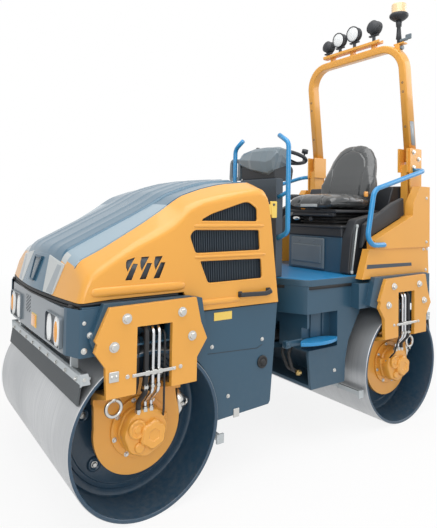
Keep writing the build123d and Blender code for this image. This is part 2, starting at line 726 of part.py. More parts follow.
# ---- roll-over frame ----------------------------------------------------------------
postX0 = ropsX - ropsDepth / 2
postX1 = ropsX + ropsDepth / 2
postY0 = postInner
postY1 = ropsHalf + ropsThickness / 2
post = box(postX0, postX1, postY0, postY1, rearTop, ropsJoint - 30)
for y0, y1 in ((postY1, postY1 + 15), (postY0 - 15, postY0)):
    post += box(postX0 - 20, postX1 + 20, y0, y1, ropsJoint - 90, ropsJoint + 95)
post -= rodY(ropsPivotX, postY0 - 40, postY1 + 40, ropsPivotZ, 14)
post += rodY(ropsPivotX, postY0 - 15, postY1 + 15, ropsPivotZ, 14)
save("rops_lower_posts", both(post))


def rearRailTube():
    y = deckHalf + 88
    foot = deckHeight + 212
    rail = tube([(-800, deckHalf + 55, foot), (-800, y, foot), (-640, y, foot), (-720, y, foot + 378),
                 (-1262, y, foot + 543), (-1300, postY1 + 5, foot + 553)], [22, 90, 90, 60], railRadius)
    return rail - panels - post


save("rear_handrails", both(rearRailTube()))

cornerRadius = 110.0
barDepth = 100.0
outerShape = RectangleRounded(2 * postY1, 2 * (ropsTop - ropsJoint), cornerRadius)
innerShape = RectangleRounded(2 * postY0, 2 * (ropsTop - ropsJoint) - 2 * barDepth, cornerRadius - 50)
hoopPlane = Plane((postX0, 0, ropsJoint), x_dir=(0, 1, 0), z_dir=(1, 0, 0))
hoop = extrude(hoopPlane * outerShape, ropsDepth) - extrude(hoopPlane * innerShape, ropsDepth)
hoop -= box(postX0 - 1, postX1 + 1, -postY1 - 50, postY1 + 50, 500, ropsJoint)
hoop = hoop & box(postX0, postX1, -postY1 + 0.5, postY1 - 0.5, ropsJoint, ropsTop)
for s in (-1, 1):
    hoop -= rodY(ropsPivotX, s * ropsHalf - 40, s * ropsHalf + 40, ropsPivotZ, 14.05)
save("rops_hoop", hoop)

barLow = ropsTop + 42
barX = postX1 + 30
lightBar = box(barX, barX + 20, -275, 300, barLow, barLow + 24)
for y in (-240, 270):
    lightBar += box(postX1, barX + 20, y - 15, y + 15, ropsTop - 30, barLow + 8)
lampPlaces = [(-255, 42), (-115, 52), (35, 52), (245, 42)]     # y, radius
for y, r in lampPlaces:
    lightBar += rodX(barX - 10, barX + 60, y, barLow + 40 + r, r)
    lightBar += box(barX + 2, barX + 18, y - 10, y + 10, barLow + 24, barLow + 44)
save("work_lamps", lightBar)
beaconX = postX1 + 14.0
beaconY = ropsHalf - 45
beaconLow = ropsTop + 155
beacon = rodZ(beaconX, beaconY, beaconLow - 225, beaconLow, 12)
beacon += rodZ(beaconX, beaconY, beaconLow, beaconLow + 50, 62)
beacon += rodZ(beaconX, beaconY, beaconLow + 50, beaconLow + 145, 50)
beacon += box(postX1, postX1 + 10, beaconY - 25, beaconY + 25, ropsTop - 85, ropsTop - 15)
save("beacon", beacon)
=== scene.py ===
import math
from functools import partial

import bmesh
import bpy
import numpy as np
from mathutils import Matrix, Vector
from mathutils.geometry import delaunay_2d_cdt


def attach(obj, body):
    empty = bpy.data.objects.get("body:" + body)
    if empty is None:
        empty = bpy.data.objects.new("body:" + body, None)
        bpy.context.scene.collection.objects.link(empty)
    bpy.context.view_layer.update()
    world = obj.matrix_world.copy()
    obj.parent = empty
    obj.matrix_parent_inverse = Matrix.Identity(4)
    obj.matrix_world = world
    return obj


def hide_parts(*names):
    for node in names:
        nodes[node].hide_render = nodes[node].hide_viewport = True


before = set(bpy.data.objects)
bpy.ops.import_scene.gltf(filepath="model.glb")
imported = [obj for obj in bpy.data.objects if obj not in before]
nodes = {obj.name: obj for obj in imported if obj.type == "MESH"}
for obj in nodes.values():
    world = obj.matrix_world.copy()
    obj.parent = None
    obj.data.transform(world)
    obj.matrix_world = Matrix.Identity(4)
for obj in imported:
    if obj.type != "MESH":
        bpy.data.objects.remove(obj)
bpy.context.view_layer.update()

print("frame loaded,", len(nodes), "nodes")


def newObject(name, data):
    ob = bpy.data.objects.new(name, data)
    bpy.context.scene.collection.objects.link(ob)
    return ob


# camera and light
cameraSet = {
    "place": (2.132, 2.7965, 1.4803),     # metres, in the machine's frame
    "heading": -124.94,                   # degrees from +X
    "pitch": 1.82,
    "roll": 1.008,
    "lens": 33.74,
    "shiftX": 0.0028,
    "shiftY": -0.1313,
}


def makeCamera(s):
    a, p, r = (math.radians(s[k]) for k in ("heading", "pitch", "roll"))
    ahead = Vector((math.cos(a) * math.cos(p), math.sin(a) * math.cos(p), math.sin(p)))
    right = ahead.cross(Vector((0, 0, 1))).normalized()
    up = right.cross(ahead)
    side = right * math.cos(r) + up * math.sin(r)
    top = up * math.cos(r) - right * math.sin(r)
    data = bpy.data.cameras.new("camera")
    data.lens = s["lens"]
    data.sensor_width = 36
    data.shift_x = s["shiftX"]
    data.shift_y = s["shiftY"]
    data.clip_end = 100
    ob = newObject("camera", data)
    ob.matrix_world = Matrix.Translation(s["place"]) @ Matrix((side, top, -ahead)).transposed().to_4x4()
    bpy.context.scene.camera = ob


makeCamera(cameraSet)

lightSet = {
    # name: (place, aimed at, width, watts)
    "skyPanel": ((0.6, 1.2, 5.2), (0, 0, 0.8), 4.5, 165),
    "sidePanel": ((3.8, 4.6, 3.0), (0.2, 0, 0.9), 3.0, 95),
    "rearPanel": ((-4.6, 2.2, 3.4), (-0.6, 0, 1.0), 2.6, 55),
    "worldDiffuse": 0.5,
    "floorColour": 0.86, "floorRough": 0.9, "floorGloss": 0.1,
    "floorHalf": 30,
    "floorWhite": (2.4, 9.0, 0.86, 1.0),   # metres from the middle: near and far; share of white there
}


def makeLight(name, place, aim, width, watts):
    data = bpy.data.lights.new(name, "AREA")
    data.size = width
    data.energy = watts
    ob = newObject(name, data)
    ob.location = place
    ob.rotation_mode = "QUATERNION"
    ob.rotation_quaternion = (Vector(aim) - Vector(place)).to_track_quat("-Z", "Y")


for name in ("skyPanel", "sidePanel", "rearPanel"):
    makeLight(name, *lightSet[name])


def makeGroup(name, inputs, outputs):
    tree = bpy.data.node_groups.new(name, "ShaderNodeTree")
    for label, kind, value in inputs:
        socket = tree.interface.new_socket(label, in_out="INPUT", socket_type="NodeSocket" + kind)
        socket.default_value = value
    for label, kind in outputs:
        tree.interface.new_socket(label, in_out="OUTPUT", socket_type="NodeSocket" + kind)
    return tree, tree.nodes.new("NodeGroupInput"), tree.nodes.new("NodeGroupOutput")


def addNode(tree, kind, **values):
    node = tree.nodes.new("ShaderNode" + kind)
    for key, value in values.items():
        if key in node.inputs:
            node.inputs[key].default_value = value
        else:
            setattr(node, key, value)
    return node


def link(source, target):
    source.id_data.links.new(source, target)


def mathNode(tree, operation, a, b, clamp=False):
    node = tree.nodes.new("ShaderNodeMath")
    node.operation = operation
    node.use_clamp = clamp
    for k, value in enumerate((a, b)):
        if hasattr(value, "links"):
            link(value, node.inputs[k])
        else:
            node.inputs[k].default_value = value
    return node.outputs[0]


def blendColour(tree, factor, a, b, kind="MIX"):
    node = tree.nodes.new("ShaderNodeMix")
    node.data_type = "RGBA"
    node.blend_type = kind
    for key, value in ((0, factor), (6, a), (7, b)):
        if hasattr(value, "links"):
            link(value, node.inputs[key])
        elif key == 0:
            node.inputs[0].default_value = value
        else:
            node.inputs[key].default_value = (*value[:3], 1)
    return node.outputs[2]


def remap(tree, value, low, high, toLow=0.0, toHigh=1.0):
    node = tree.nodes.new("ShaderNodeMapRange")
    link(value, node.inputs["Value"])
    for key, number in (("From Min", low), ("From Max", high), ("To Min", toLow), ("To Max", toHigh)):
        node.inputs[key].default_value = number
    return node.outputs["Result"]


def newSurface(name):
    mat = bpy.data.materials.new(name)
    mat.use_nodes = True
    return mat, mat.node_tree, mat.node_tree.nodes["Principled BSDF"]


def seenDirectly(tree):
    # Light Path's camera, glossy and transmission rays added up, clamped to 0..1
    rays = addNode(tree, "LightPath").outputs
    seen = mathNode(tree, "ADD", rays["Is Camera Ray"], rays["Is Glossy Ray"], True)
    return mathNode(tree, "ADD", seen, rays["Is Transmission Ray"], True)


def makeWorld():
    world = bpy.data.worlds.new("studio")
    world.use_nodes = True
    tree = world.node_tree
    back = tree.nodes["Background"]
    back.inputs["Color"].default_value = (1, 1, 1, 1)
    mix = tree.nodes.new("ShaderNodeMix")          # strength: soft light, or plain white where seen
    mix.inputs["A"].default_value = lightSet["worldDiffuse"]
    mix.inputs["B"].default_value = 1.0
    link(seenDirectly(tree), mix.inputs["Factor"])
    link(mix.outputs["Result"], back.inputs["Strength"])
    bpy.context.scene.world = world


makeWorld()
bpy.context.scene.view_settings.view_transform = "Standard"


def makeFloor(s):
    # a pale sheet, mixed with plain white by the share that the eye sees, whole far away
    far, tone = s["floorHalf"], s["floorColour"]
    data = bpy.data.meshes.new("floor")
    data.from_pydata([(-far, -far, 0), (far, -far, 0), (far, far, 0), (-far, far, 0)], [], [(0, 1, 2, 3)])
    mat, tree, shader = newSurface("floorPale")
    shader.inputs["Base Color"].default_value = (tone, tone, tone, 1)
    shader.inputs["Roughness"].default_value = s["floorRough"]
    shader.inputs["Specular IOR Level"].default_value = s["floorGloss"]
    where = addNode(tree, "TexCoord")
    away = addNode(tree, "VectorMath", operation="LENGTH")
    link(where.outputs["Object"], away.inputs[0])
    share = remap(tree, away.outputs["Value"], *s["floorWhite"])
    mix = addNode(tree, "MixShader")
    inputs = (mathNode(tree, "MULTIPLY", seenDirectly(tree), share), shader.outputs[0],
              addNode(tree, "Emission").outputs[0])
    for k, value in enumerate(inputs):
        link(value, mix.inputs[k])
    link(mix.outputs[0], tree.nodes["Material Output"].inputs["Surface"])
    data.materials.append(mat)
    newObject("floor", data)


makeFloor(lightSet)
print("camera, lights and floor")


def meshGrid(rows, cols, wrapRows=False, wrapCols=False):
    # quad i, j joins point i, j with its next neighbours, counted round where a side wraps
    i = np.arange(rows if wrapRows else rows - 1)
    j = np.arange(cols if wrapCols else cols - 1)
    i, j = np.meshgrid(i, j, indexing="ij")
    i2, j2 = (i + 1) % rows, (j + 1) % cols
    return np.stack([i * cols + j, i * cols + j2, i2 * cols + j2, i2 * cols + j], -1).reshape(-1, 4).tolist()


def joined(shapes):
    # shapes are (points, faces, finish of each face); the faces' numbers move up by the points before them
    points, faces, bands, start = [], [], [], 0
    for p, f, b in shapes:
        points.append(np.asarray(p, float).reshape(-1, 3))
        faces += [[start + k for k in face] for face in f]
        bands += list(b)
        start += len(points[-1])
    return np.concatenate(points), faces, bands


def bothSides(*shapes):
    # the shapes and their mirror: y changes sign and each face is wound the other way
    points, faces, bands = shape = joined(shapes)
    return joined([shape, (points * (1, -1, 1), [face[::-1] for face in faces], bands)])


def plain(grid, faces):
    # a shape whose faces all take the first finish
    return np.asarray(grid).reshape(-1, 3), faces, [0] * len(faces)


def capped(grid):
    # rows that close round, with a flat face over the first row and over the last
    rows, n = grid.shape[:2]
    ends = [list(range(n)), list(range((rows - 1) * n, rows * n))]
    return plain(grid, meshGrid(rows, n, wrapCols=True) + ends)


def addPiece(body, name, shape, finish, slotName=None, bevel=0.0, smooth=True):
    # a mesh that rides on its body, in one finish or a list; the slot name is not used
    points, faces, bands = shape
    finishes = [finish] if isinstance(finish, str) else finish
    data = bpy.data.meshes.new(name)
    data.from_pydata(np.asarray(points).tolist(), [], faces)
    for key in finishes:
        data.materials.append(mats[key])
    data.polygons.foreach_set("material_index", np.asarray(bands, np.int32))
    bm = bmesh.new()
    bm.from_mesh(data)
    bmesh.ops.remove_doubles(bm, verts=bm.verts, dist=2e-6)
    bmesh.ops.dissolve_degenerate(bm, edges=bm.edges, dist=1e-7)
    bmesh.ops.recalc_face_normals(bm, faces=bm.faces)
    if any(edge.is_boundary for edge in bm.edges):         # an open skin may come out inside out
        mid = Vector(np.asarray(points).mean(0))
        if sum((f.calc_center_median() - mid).dot(f.normal) * f.calc_area() for f in bm.faces) < 0:
            bmesh.ops.reverse_faces(bm, faces=bm.faces)
    for face in bm.faces:
        face.smooth = smooth
    bm.to_mesh(data)
    bm.free()
    ob = newObject(name, data)
    finishEdges(ob, bevel)
    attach(ob, body)
    return ob


frontPiece, rearPiece, hoodPiece, barPiece = (
    partial(addPiece, body) for body in ("front_frame", "rear_frame", "hood", "rops_top"))


def finishEdges(ob, bevel, segments=2, angle=32):
    # rounded edges where faces meet at more than the angle, and normals weighted by area
    if not bevel:
        return
    mod = ob.modifiers.new("edges", "BEVEL")
    mod.width = bevel
    mod.segments = segments
    mod.limit_method = "ANGLE"
    mod.angle_limit = math.radians(angle)
    mod.use_clamp_overlap = True
    mod.miter_outer = "MITER_ARC"
    mod = ob.modifiers.new("shading", "WEIGHTED_NORMAL")
    mod.keep_sharp = True
    mod.weight = 80


def squareTo(axis):
    # the axis as a unit, with two units square to it and to each other
    axis = np.asarray(axis, float) / np.linalg.norm(axis)
    side = np.cross(axis, (0, 0, 1) if abs(axis[2]) < 0.9 else (1, 0, 0))
    side /= np.linalg.norm(side)
    return axis, side, np.cross(axis, side)


def fullTurn(steps):
    # angles once round, the last one left off
    return np.linspace(0, 2 * np.pi, steps, endpoint=False)


def turned(profile, origin, axis, steps, bands=None, phase=0.0):
    # revolved surface: point = origin + axis * along + radius * (cos a * side + sin a * over), a once round
    profile = np.asarray(profile, float)                   # rows of (radius, along)
    axis, side, over = squareTo(axis)
    a = phase + fullTurn(steps)
    ring = np.cos(a)[:, None] * side + np.sin(a)[:, None] * over
    grid = np.asarray(origin) + profile[:, 1, None, None] * axis + profile[:, 0, None, None] * ring[None]
    faces = meshGrid(len(profile), steps, wrapCols=True)
    rows = np.repeat(np.zeros(len(profile) - 1, int) if bands is None else np.asarray(bands, int), steps)
    return grid.reshape(-1, 3), faces, rows.tolist()


def bentRoute(points, bends, steps):
    # straight runs joined by tangent arcs: each corner's arc runs from corner - u*t to corner + v*t
    points = np.asarray(points, float)
    bends = np.broadcast_to(np.asarray(bends, float), (len(points) - 2,))
    out = [points[:1]]
    for k, radius in enumerate(bends):
        before, corner, after = points[k:k + 3]
        u = (corner - before) / np.linalg.norm(corner - before)
        v = (after - corner) / np.linalg.norm(after - corner)
        turn = math.acos(float(np.clip(u @ v, -1, 1)))
        if turn < 1e-3:
            continue
        cut = radius * math.tan(turn / 2)
        inward = (v - u) / np.linalg.norm(v - u)
        centre = corner + inward * radius / math.cos(turn / 2)
        arm = corner - u * cut - centre
        a = np.linspace(0, turn, steps + 1)[:, None]
        out.append(centre + arm * np.cos(a) + u * radius * np.sin(a))
    out.append(points[-1:])
    return np.concatenate(out)


def unitRows(rows):
    # row / its length
    return rows / np.linalg.norm(rows, axis=1)[:, None]


def carried(route, profile, closed=False, up=(0, 0, 1)):
    # profile rows (across, over) carried along the route on a frame kept square to each run and turned least
    route = np.asarray(route, float)
    profile = np.asarray(profile, float)
    nextOne = np.roll(route, -1, 0) - route
    lastOne = route - np.roll(route, 1, 0)
    if not closed:
        nextOne[-1] = lastOne[-1]
        lastOne[0] = nextOne[0]
    tangent = unitRows(unitRows(nextOne) + unitRows(lastOne))
    across = np.cross(tangent[0], up)
    if np.linalg.norm(across) < 1e-3:
        across = np.cross(tangent[0], (1, 0, 0))
    sides = []
    for t in tangent:                                      # one step for each route point
        across = across - t * (across @ t)
        across = across / np.linalg.norm(across)
        sides.append(across)
    sides = np.array(sides)
    overs = np.cross(sides, tangent)
    a, b = profile[:, 0, None], profile[:, 1, None]
    grid = route[:, None] + a * sides[:, None] + b * overs[:, None]
    return plain(grid, meshGrid(*grid.shape[:2], True, True)) if closed else capped(grid)


def rectangle(wide, tall, radius):
    # half width and half height, corners rounded
    return rounded([(-wide, -tall), (wide, -tall), (wide, tall), (-wide, tall)], radius)


def circle(radius, steps):
    # radius * (cos a, sin a)
    a = fullTurn(steps)
    return np.stack([radius * np.cos(a), radius * np.sin(a)], -1)


def tubeShape(points, bends, radius, steps=14, arcSteps=8):
    # a circle carried along the bent route
    return carried(bentRoute(points, bends, arcSteps), circle(radius, steps))


def roundBox(low, high, radius):
    # a ball's direction pushed out to its own corner of the box: centre + sign * (half - r) + r * direction
    low, high = np.asarray(low, float), np.asarray(high, float)
    half = (high - low) / 2
    r = min(radius, half.min() * 0.98)
    steps = 4
    quarter = np.linspace(0, np.pi / 2, steps + 1)
    a = np.concatenate([quarter + k * np.pi / 2 for k in range(4)])
    signX = np.repeat([1, -1, -1, 1], steps + 1)
    signY = np.repeat([1, 1, -1, -1], steps + 1)
    e = np.concatenate([quarter - np.pi / 2, quarter])
    signZ = np.repeat([-1, 1], steps + 1)
    x = signX * (half[0] - r) + r * np.cos(e)[:, None] * np.cos(a)
    y = signY * (half[1] - r) + r * np.cos(e)[:, None] * np.sin(a)
    z = (signZ * (half[2] - r) + r * np.sin(e))[:, None] + 0 * x
    return capped((low + high) / 2 + np.stack([x, y, z], -1))


def slab(outline, start, end, across=(1, 0, 0), over=(0, 0, 1)):
    # a flat outline carried straight from start to end: point = across * a + over * b + place
    outline = np.asarray(outline, float)
    flat = outline[:, 0, None] * np.asarray(across, float) + outline[:, 1, None] * np.asarray(over, float)
    return capped(np.stack([flat + np.asarray(start, float), flat + np.asarray(end, float)]))


def sideSlab(outline, y0, y1):
    # an outline in x and z, carried across
    return slab(outline, (0, y0, 0), (0, y1, 0))


def flatSlab(outline, z0, z1):
    # an outline in x and y, carried up
    return slab(outline, (0, 0, z0), (0, 0, z1), (1, 0, 0), (0, 1, 0))


def boltShape(places, size, axis=(0, 1, 0)):
    # hexagon head on a washer: rings of radius * size at height * size, the hexagon's twelve radii repeat
    hexagon = np.tile([1.0, math.cos(math.pi / 6)], 6)
    washer = 1.35
    rings = [(washer, 0, 0), (washer, 0.22, 0), (1, 0.24, 1), (1, 0.82, 1), (0.86, 0.98, 1), (0, 1.0, 1)]
    axis, side, over = squareTo(axis)
    a = fullTurn(12) + 0.2
    spoke = np.cos(a)[:, None] * side + np.sin(a)[:, None] * over
    one = np.stack([axis * h * size + spoke * (r * size * (hexagon if six else hexagon * 0 + 1))[:, None]
                    for r, h, six in rings])
    faces = meshGrid(len(rings), 12, wrapCols=True) + [list(range(12))]
    return joined([plain(one + np.asarray(place), faces) for place in places])


print("mesh makers ready")


def makeWeather():
    # slow colour drift, a roughness that follows it, and dust where the surface faces up or stands low
    tree, start, end = makeGroup(
        "weather", [("Colour", "Color", (0.8, 0.8, 0.8, 1)), ("Roughness", "Float", 0.4),
                    ("Drift", "Float", 0.06), ("Dust", "Float", 0.15),
                    ("Dust Colour", "Color", (0.42, 0.37, 0.3, 1)), ("Patch Scale", "Float", 2.2)],
        [("Colour", "Color"), ("Roughness", "Float"), ("Dust Mask", "Float")])
    where = addNode(tree, "TexCoord")
    times, plus = (partial(mathNode, tree, kind) for kind in ("MULTIPLY", "ADD"))
    slow = addNode(tree, "TexNoise", Detail=3.0, Roughness=0.55)
    fine = addNode(tree, "TexNoise", Scale=34.0, Detail=5.0, Roughness=0.65)
    link(where.outputs["Object"], slow.inputs["Vector"])
    link(where.outputs["Object"], fine.inputs["Vector"])
    link(start.outputs["Patch Scale"], slow.inputs["Scale"])
    drift = times(mathNode(tree, "SUBTRACT", slow.outputs["Fac"], 0.5), start.outputs["Drift"])
    shade = plus(times(drift, 2.0), 1.0)
    tint = addNode(tree, "CombineXYZ")
    for k in range(3):
        link(shade, tint.inputs[k])
    drifted = blendColour(tree, 1.0, start.outputs["Colour"], tint.outputs[0], "MULTIPLY")
    facing = addNode(tree, "SeparateXYZ")
    link(where.outputs["Normal"], facing.inputs[0])
    height = addNode(tree, "SeparateXYZ")
    link(where.outputs["Object"], height.inputs[0])
    upward = remap(tree, facing.outputs["Z"], 0.55, 1.0)
    low = remap(tree, height.outputs["Z"], 0.75, 0.0)
    settled = plus(times(upward, 0.6), times(low, 0.5), True)
    broken = remap(tree, fine.outputs["Fac"], 0.35, 0.72)
    mask = times(times(settled, broken), start.outputs["Dust"], True)
    link(blendColour(tree, mask, drifted, start.outputs["Dust Colour"]), end.inputs["Colour"])
    rough = plus(start.outputs["Roughness"], times(drift, 1.5))
    link(plus(rough, times(mask, 0.45), True), end.inputs["Roughness"])
    link(mask, end.inputs["Dust Mask"])
    return tree


def makeGrain():
    # fine cell grain of a moulded or sprayed surface, as a height
    tree, start, end = makeGroup("grain", [("Scale", "Float", 400.0), ("Softness", "Float", 0.5)],
                                 [("Height", "Float")])
    where = addNode(tree, "TexCoord")
    cells = addNode(tree, "TexVoronoi", feature="SMOOTH_F1", Smoothness=0.6)
    noise = addNode(tree, "TexNoise", Detail=2.0)
    for node in (cells, noise):
        link(where.outputs["Object"], node.inputs["Vector"])
        link(start.outputs["Scale"], node.inputs["Scale"])
    total = addNode(tree, "Mix")
    link(start.outputs["Softness"], total.inputs["Factor"])
    link(cells.outputs["Distance"], total.inputs[2])
    link(noise.outputs["Fac"], total.inputs[3])
    link(total.outputs[0], end.inputs["Height"])
    return tree


def makeBrush():
    # lines drawn along the axes that Stretch leaves slow: a fast noise across, broken by a slow one
    tree, start, end = makeGroup(
        "brushLines", [("Stretch", "Vector", (2.0, 160.0, 2.0)), ("Breakup", "Float", 3.0)],
        [("Lines", "Float"), ("Height", "Float")])
    where = addNode(tree, "TexCoord")
    scaled = addNode(tree, "VectorMath", operation="MULTIPLY")
    link(where.outputs["Object"], scaled.inputs[0])
    link(start.outputs["Stretch"], scaled.inputs[1])
    lines = addNode(tree, "TexNoise", Scale=1.0, Detail=6.0, Roughness=0.7)
    link(scaled.outputs[0], lines.inputs["Vector"])
    patches = addNode(tree, "TexNoise", Detail=3.0)
    link(where.outputs["Object"], patches.inputs["Vector"])
    link(start.outputs["Breakup"], patches.inputs["Scale"])
    cut = mathNode(tree, "MULTIPLY", remap(tree, lines.outputs["Fac"], 0.3, 0.7),
                   remap(tree, patches.outputs["Fac"], 0.25, 0.7))
    link(cut, end.inputs["Lines"])
    link(lines.outputs["Fac"], end.inputs["Height"])
    return tree


weatherGroup, grainGroup, brushGroup = makeWeather(), makeGrain(), makeBrush()


def placeGroup(tree, group, **values):
    node = tree.nodes.new("ShaderNodeGroup")
    node.node_tree = group
    for key, value in values.items():
        label = key[0].upper() + "".join(" " + c if c.isupper() else c for c in key[1:])
        node.inputs[label].default_value = value
    return node


materialSet = {
    # name: colour, roughness, metallic, coat, drift, dust, grain scale, grain strength
    "yellowPaint": ((0.78, 0.365, 0.055), 0.36, 0.0, 0.3, 0.05, 0.1, 900, 0.05),
    "slatePaint": ((0.026, 0.078, 0.128), 0.4, 0.0, 0.15, 0.09, 0.12, 900, 0.06),
    "slateGloss": ((0.038, 0.125, 0.2), 0.28, 0.0, 0.3, 0.05, 0.1, 700, 0.04),
    "bandPaint": ((0.27, 0.37, 0.44), 0.3, 0.0, 0.4, 0.04, 0.06, 700, 0.04),
    "paleTrim": ((0.5, 0.53, 0.53), 0.32, 0.0, 0.3, 0.05, 0.08, 700, 0.04),
    "greyTrim": ((0.3, 0.34, 0.37), 0.3, 0.0, 0.3, 0.04, 0.05, 700, 0.04),
    "slatBlue": ((0.04, 0.058, 0.078), 0.4, 0.0, 0.1, 0.1, 0.2, 900, 0.04),
    "bluePaint": ((0.012, 0.255, 0.56), 0.32, 0.0, 0.4, 0.05, 0.08, 800, 0.05),
    "blackPlastic": ((0.022, 0.025, 0.03), 0.52, 0.0, 0.0, 0.12, 0.3, 1100, 0.16),
    "blackRubber": ((0.014, 0.015, 0.017), 0.62, 0.0, 0.0, 0.15, 0.35, 600, 0.2),
    "grilleBlack": ((0.02, 0.03, 0.042), 0.4, 0.0, 0.1, 0.1, 0.2, 900, 0.05),
    "zincSteel": ((0.62, 0.62, 0.6), 0.3, 1.0, 0.0, 0.05, 0.1, 500, 0.05),
    "brightPipe": ((0.68, 0.69, 0.71), 0.22, 1.0, 0.0, 0.04, 0.06, 500, 0.03),
    "castIron": ((0.075, 0.078, 0.082), 0.62, 0.3, 0.0, 0.15, 0.35, 260, 0.35),
    "lampWhite": ((0.86, 0.88, 0.88), 0.12, 0.0, 0.6, 0.03, 0.03, 60, 0.02),
    "lampAmber": ((0.85, 0.36, 0.05), 0.16, 0.0, 0.6, 0.04, 0.04, 60, 0.02),
    "plateYellow": ((0.82, 0.58, 0.12), 0.4, 0.0, 0.1, 0.05, 0.1, 500, 0.03),
    "navyPaint": ((0.018, 0.058, 0.105), 0.34, 0.0, 0.25, 0.1, 0.14, 700, 0.06),
    "bumperPaint": ((0.18, 0.215, 0.245), 0.32, 0.0, 0.3, 0.06, 0.12, 800, 0.05),
    "wornZinc": ((0.5, 0.54, 0.56), 0.46, 0.5, 0.0, 0.14, 0.35, 260, 0.18),
    "greyRubber": ((0.075, 0.085, 0.092), 0.66, 0.0, 0.0, 0.12, 0.3, 500, 0.2),
    "dashGrey": ((0.17, 0.215, 0.245), 0.34, 0.0, 0.3, 0.1, 0.3, 700, 0.12),
    "documentGrey": ((0.12, 0.155, 0.18), 0.38, 0.0, 0.15, 0.1, 0.25, 800, 0.1),
    "seatVinyl": ((0.052, 0.056, 0.058), 0.3, 0.0, 0.6, 0.1, 0.2, 620, 0.22),
    "brass": ((0.55, 0.4, 0.16), 0.34, 1.0, 0.0, 0.08, 0.2, 400, 0.1),
    "beaconCream": ((0.86, 0.62, 0.34), 0.16, 0.0, 0.6, 0.04, 0.05, 90, 0.04),
}


def makeMaterial(name, colour, rough, metal, coat, drift, dust, grainScale, grainStrength):
    mat, tree, shader = newSurface(name)
    weather = placeGroup(tree, weatherGroup, colour=(*colour, 1), roughness=rough, drift=drift, dust=dust)
    link(weather.outputs["Colour"], shader.inputs["Base Color"])
    link(weather.outputs["Roughness"], shader.inputs["Roughness"])
    grain = placeGroup(tree, grainGroup, scale=grainScale)
    bump = addNode(tree, "Bump", Strength=grainStrength, Distance=0.0006)
    link(grain.outputs["Height"], bump.inputs["Height"])
    link(bump.outputs["Normal"], shader.inputs["Normal"])
    shader.inputs["Metallic"].default_value = metal
    shader.inputs["Coat Weight"].default_value = coat
    shader.inputs["Coat Roughness"].default_value = 0.08
    return mat


mats = {name: makeMaterial(name, *row) for name, row in materialSet.items()}

steelSet = {
    "bright": (0.66, 0.67, 0.68),
    "dull": (0.46, 0.475, 0.49),
    "metallic": 0.6,
    "rough": (0.3, 0.48),                 # roughness where polished, and where dull
    "lineStrength": 0.1,
}


def makeDrumSteel(s):
    # rolled steel: rings round the drum, polished in patches, with a dull bloom between them
    mat, tree, shader = newSurface("drumSteel")
    brush = placeGroup(tree, brushGroup, stretch=(1.5, 140.0, 1.5), breakup=2.6)
    colour = blendColour(tree, brush.outputs["Lines"], s["dull"], s["bright"])
    weather = placeGroup(tree, weatherGroup, roughness=0.4, drift=0.1, dust=0.16, patchScale=1.6)
    link(colour, weather.inputs["Colour"])
    link(weather.outputs["Colour"], shader.inputs["Base Color"])
    link(remap(tree, brush.outputs["Lines"], 0, 1, s["rough"][1], s["rough"][0]), shader.inputs["Roughness"])
    shader.inputs["Metallic"].default_value = s["metallic"]
    bump = addNode(tree, "Bump", Strength=s["lineStrength"], Distance=0.0008)
    link(brush.outputs["Height"], bump.inputs["Height"])
    link(bump.outputs["Normal"], shader.inputs["Normal"])
    return mat


mats["drumSteel"] = makeDrumSteel(steelSet)
print("materials:", len(mats))

# CAD nodes that stay, as (material, edge radius in mm): names
keptNodes = {
    ("slatePaint", 2.5): "front_chassis rear_chassis",
    ("slatePaint", 3): "rear_yoke centre_link",
    ("slatePaint", 6): "seat_pedestal",
    ("yellowPaint", 3): "front_fork_left front_fork_right rear_fork_left rear_fork_right",
    ("yellowPaint", 4): "rops_lower_posts",
    ("yellowPaint", 6): "rear_side_panels",
    ("bumperPaint", 5): "front_bumper",
    ("castIron", 8): "engine_block",
    ("slatBlue", 6): "console_bulkhead",
    ("zincSteel", 0): "front_tie_downs rear_tie_downs",
    ("zincSteel", 2): "articulation_pin",
    ("brightPipe", 2): "steering_cylinder_rod",
    ("blackPlastic", 0): "steering_wheel",
    ("blackPlastic", 2): "steering_cylinder_barrel",
    ("blackPlastic", 3): "steering_column",
    ("blackPlastic", 10): "rear_covers",
}


def dressNode(name, material, edge):
    # the node's own mesh is untouched: weld, planar decimate and bevel run over it as modifiers
    ob = nodes[name]
    ob.data.materials.clear()
    ob.data.materials.append(mats[material])
    if "custom_normal" in ob.data.attributes:
        ob.data.attributes.remove(ob.data.attributes["custom_normal"])
    ob.data.polygons.foreach_set("use_smooth", np.ones(len(ob.data.polygons), bool))
    weld = ob.modifiers.new("weld", "WELD")
    weld.merge_threshold = 0.00002
    flat = ob.modifiers.new("flat", "DECIMATE")
    flat.decimate_type = "DISSOLVE"
    flat.angle_limit = math.radians(0.4)
    finishEdges(ob, edge / 1000)


for (finish, edge), names in keptNodes.items():
    for name in names.split():
        dressNode(name, finish, edge)
print("CAD nodes dressed")


def inLoops(spots, loops):
    # crossings of all the loops to the right of each spot, odd where the spot is inside
    a = np.concatenate(loops)
    b = np.concatenate([np.roll(loop, -1, 0) for loop in loops])
    y = spots[:, None, 1]
    rise = np.where(b[:, 1] == a[:, 1], 1.0, b[:, 1] - a[:, 1])
    cross = a[:, 0] + (y - a[:, 1]) * (b[:, 0] - a[:, 0]) / rise
    return (((a[:, 1] > y) != (b[:, 1] > y)) & (cross > spots[:, None, 0])).sum(1) % 2 == 1


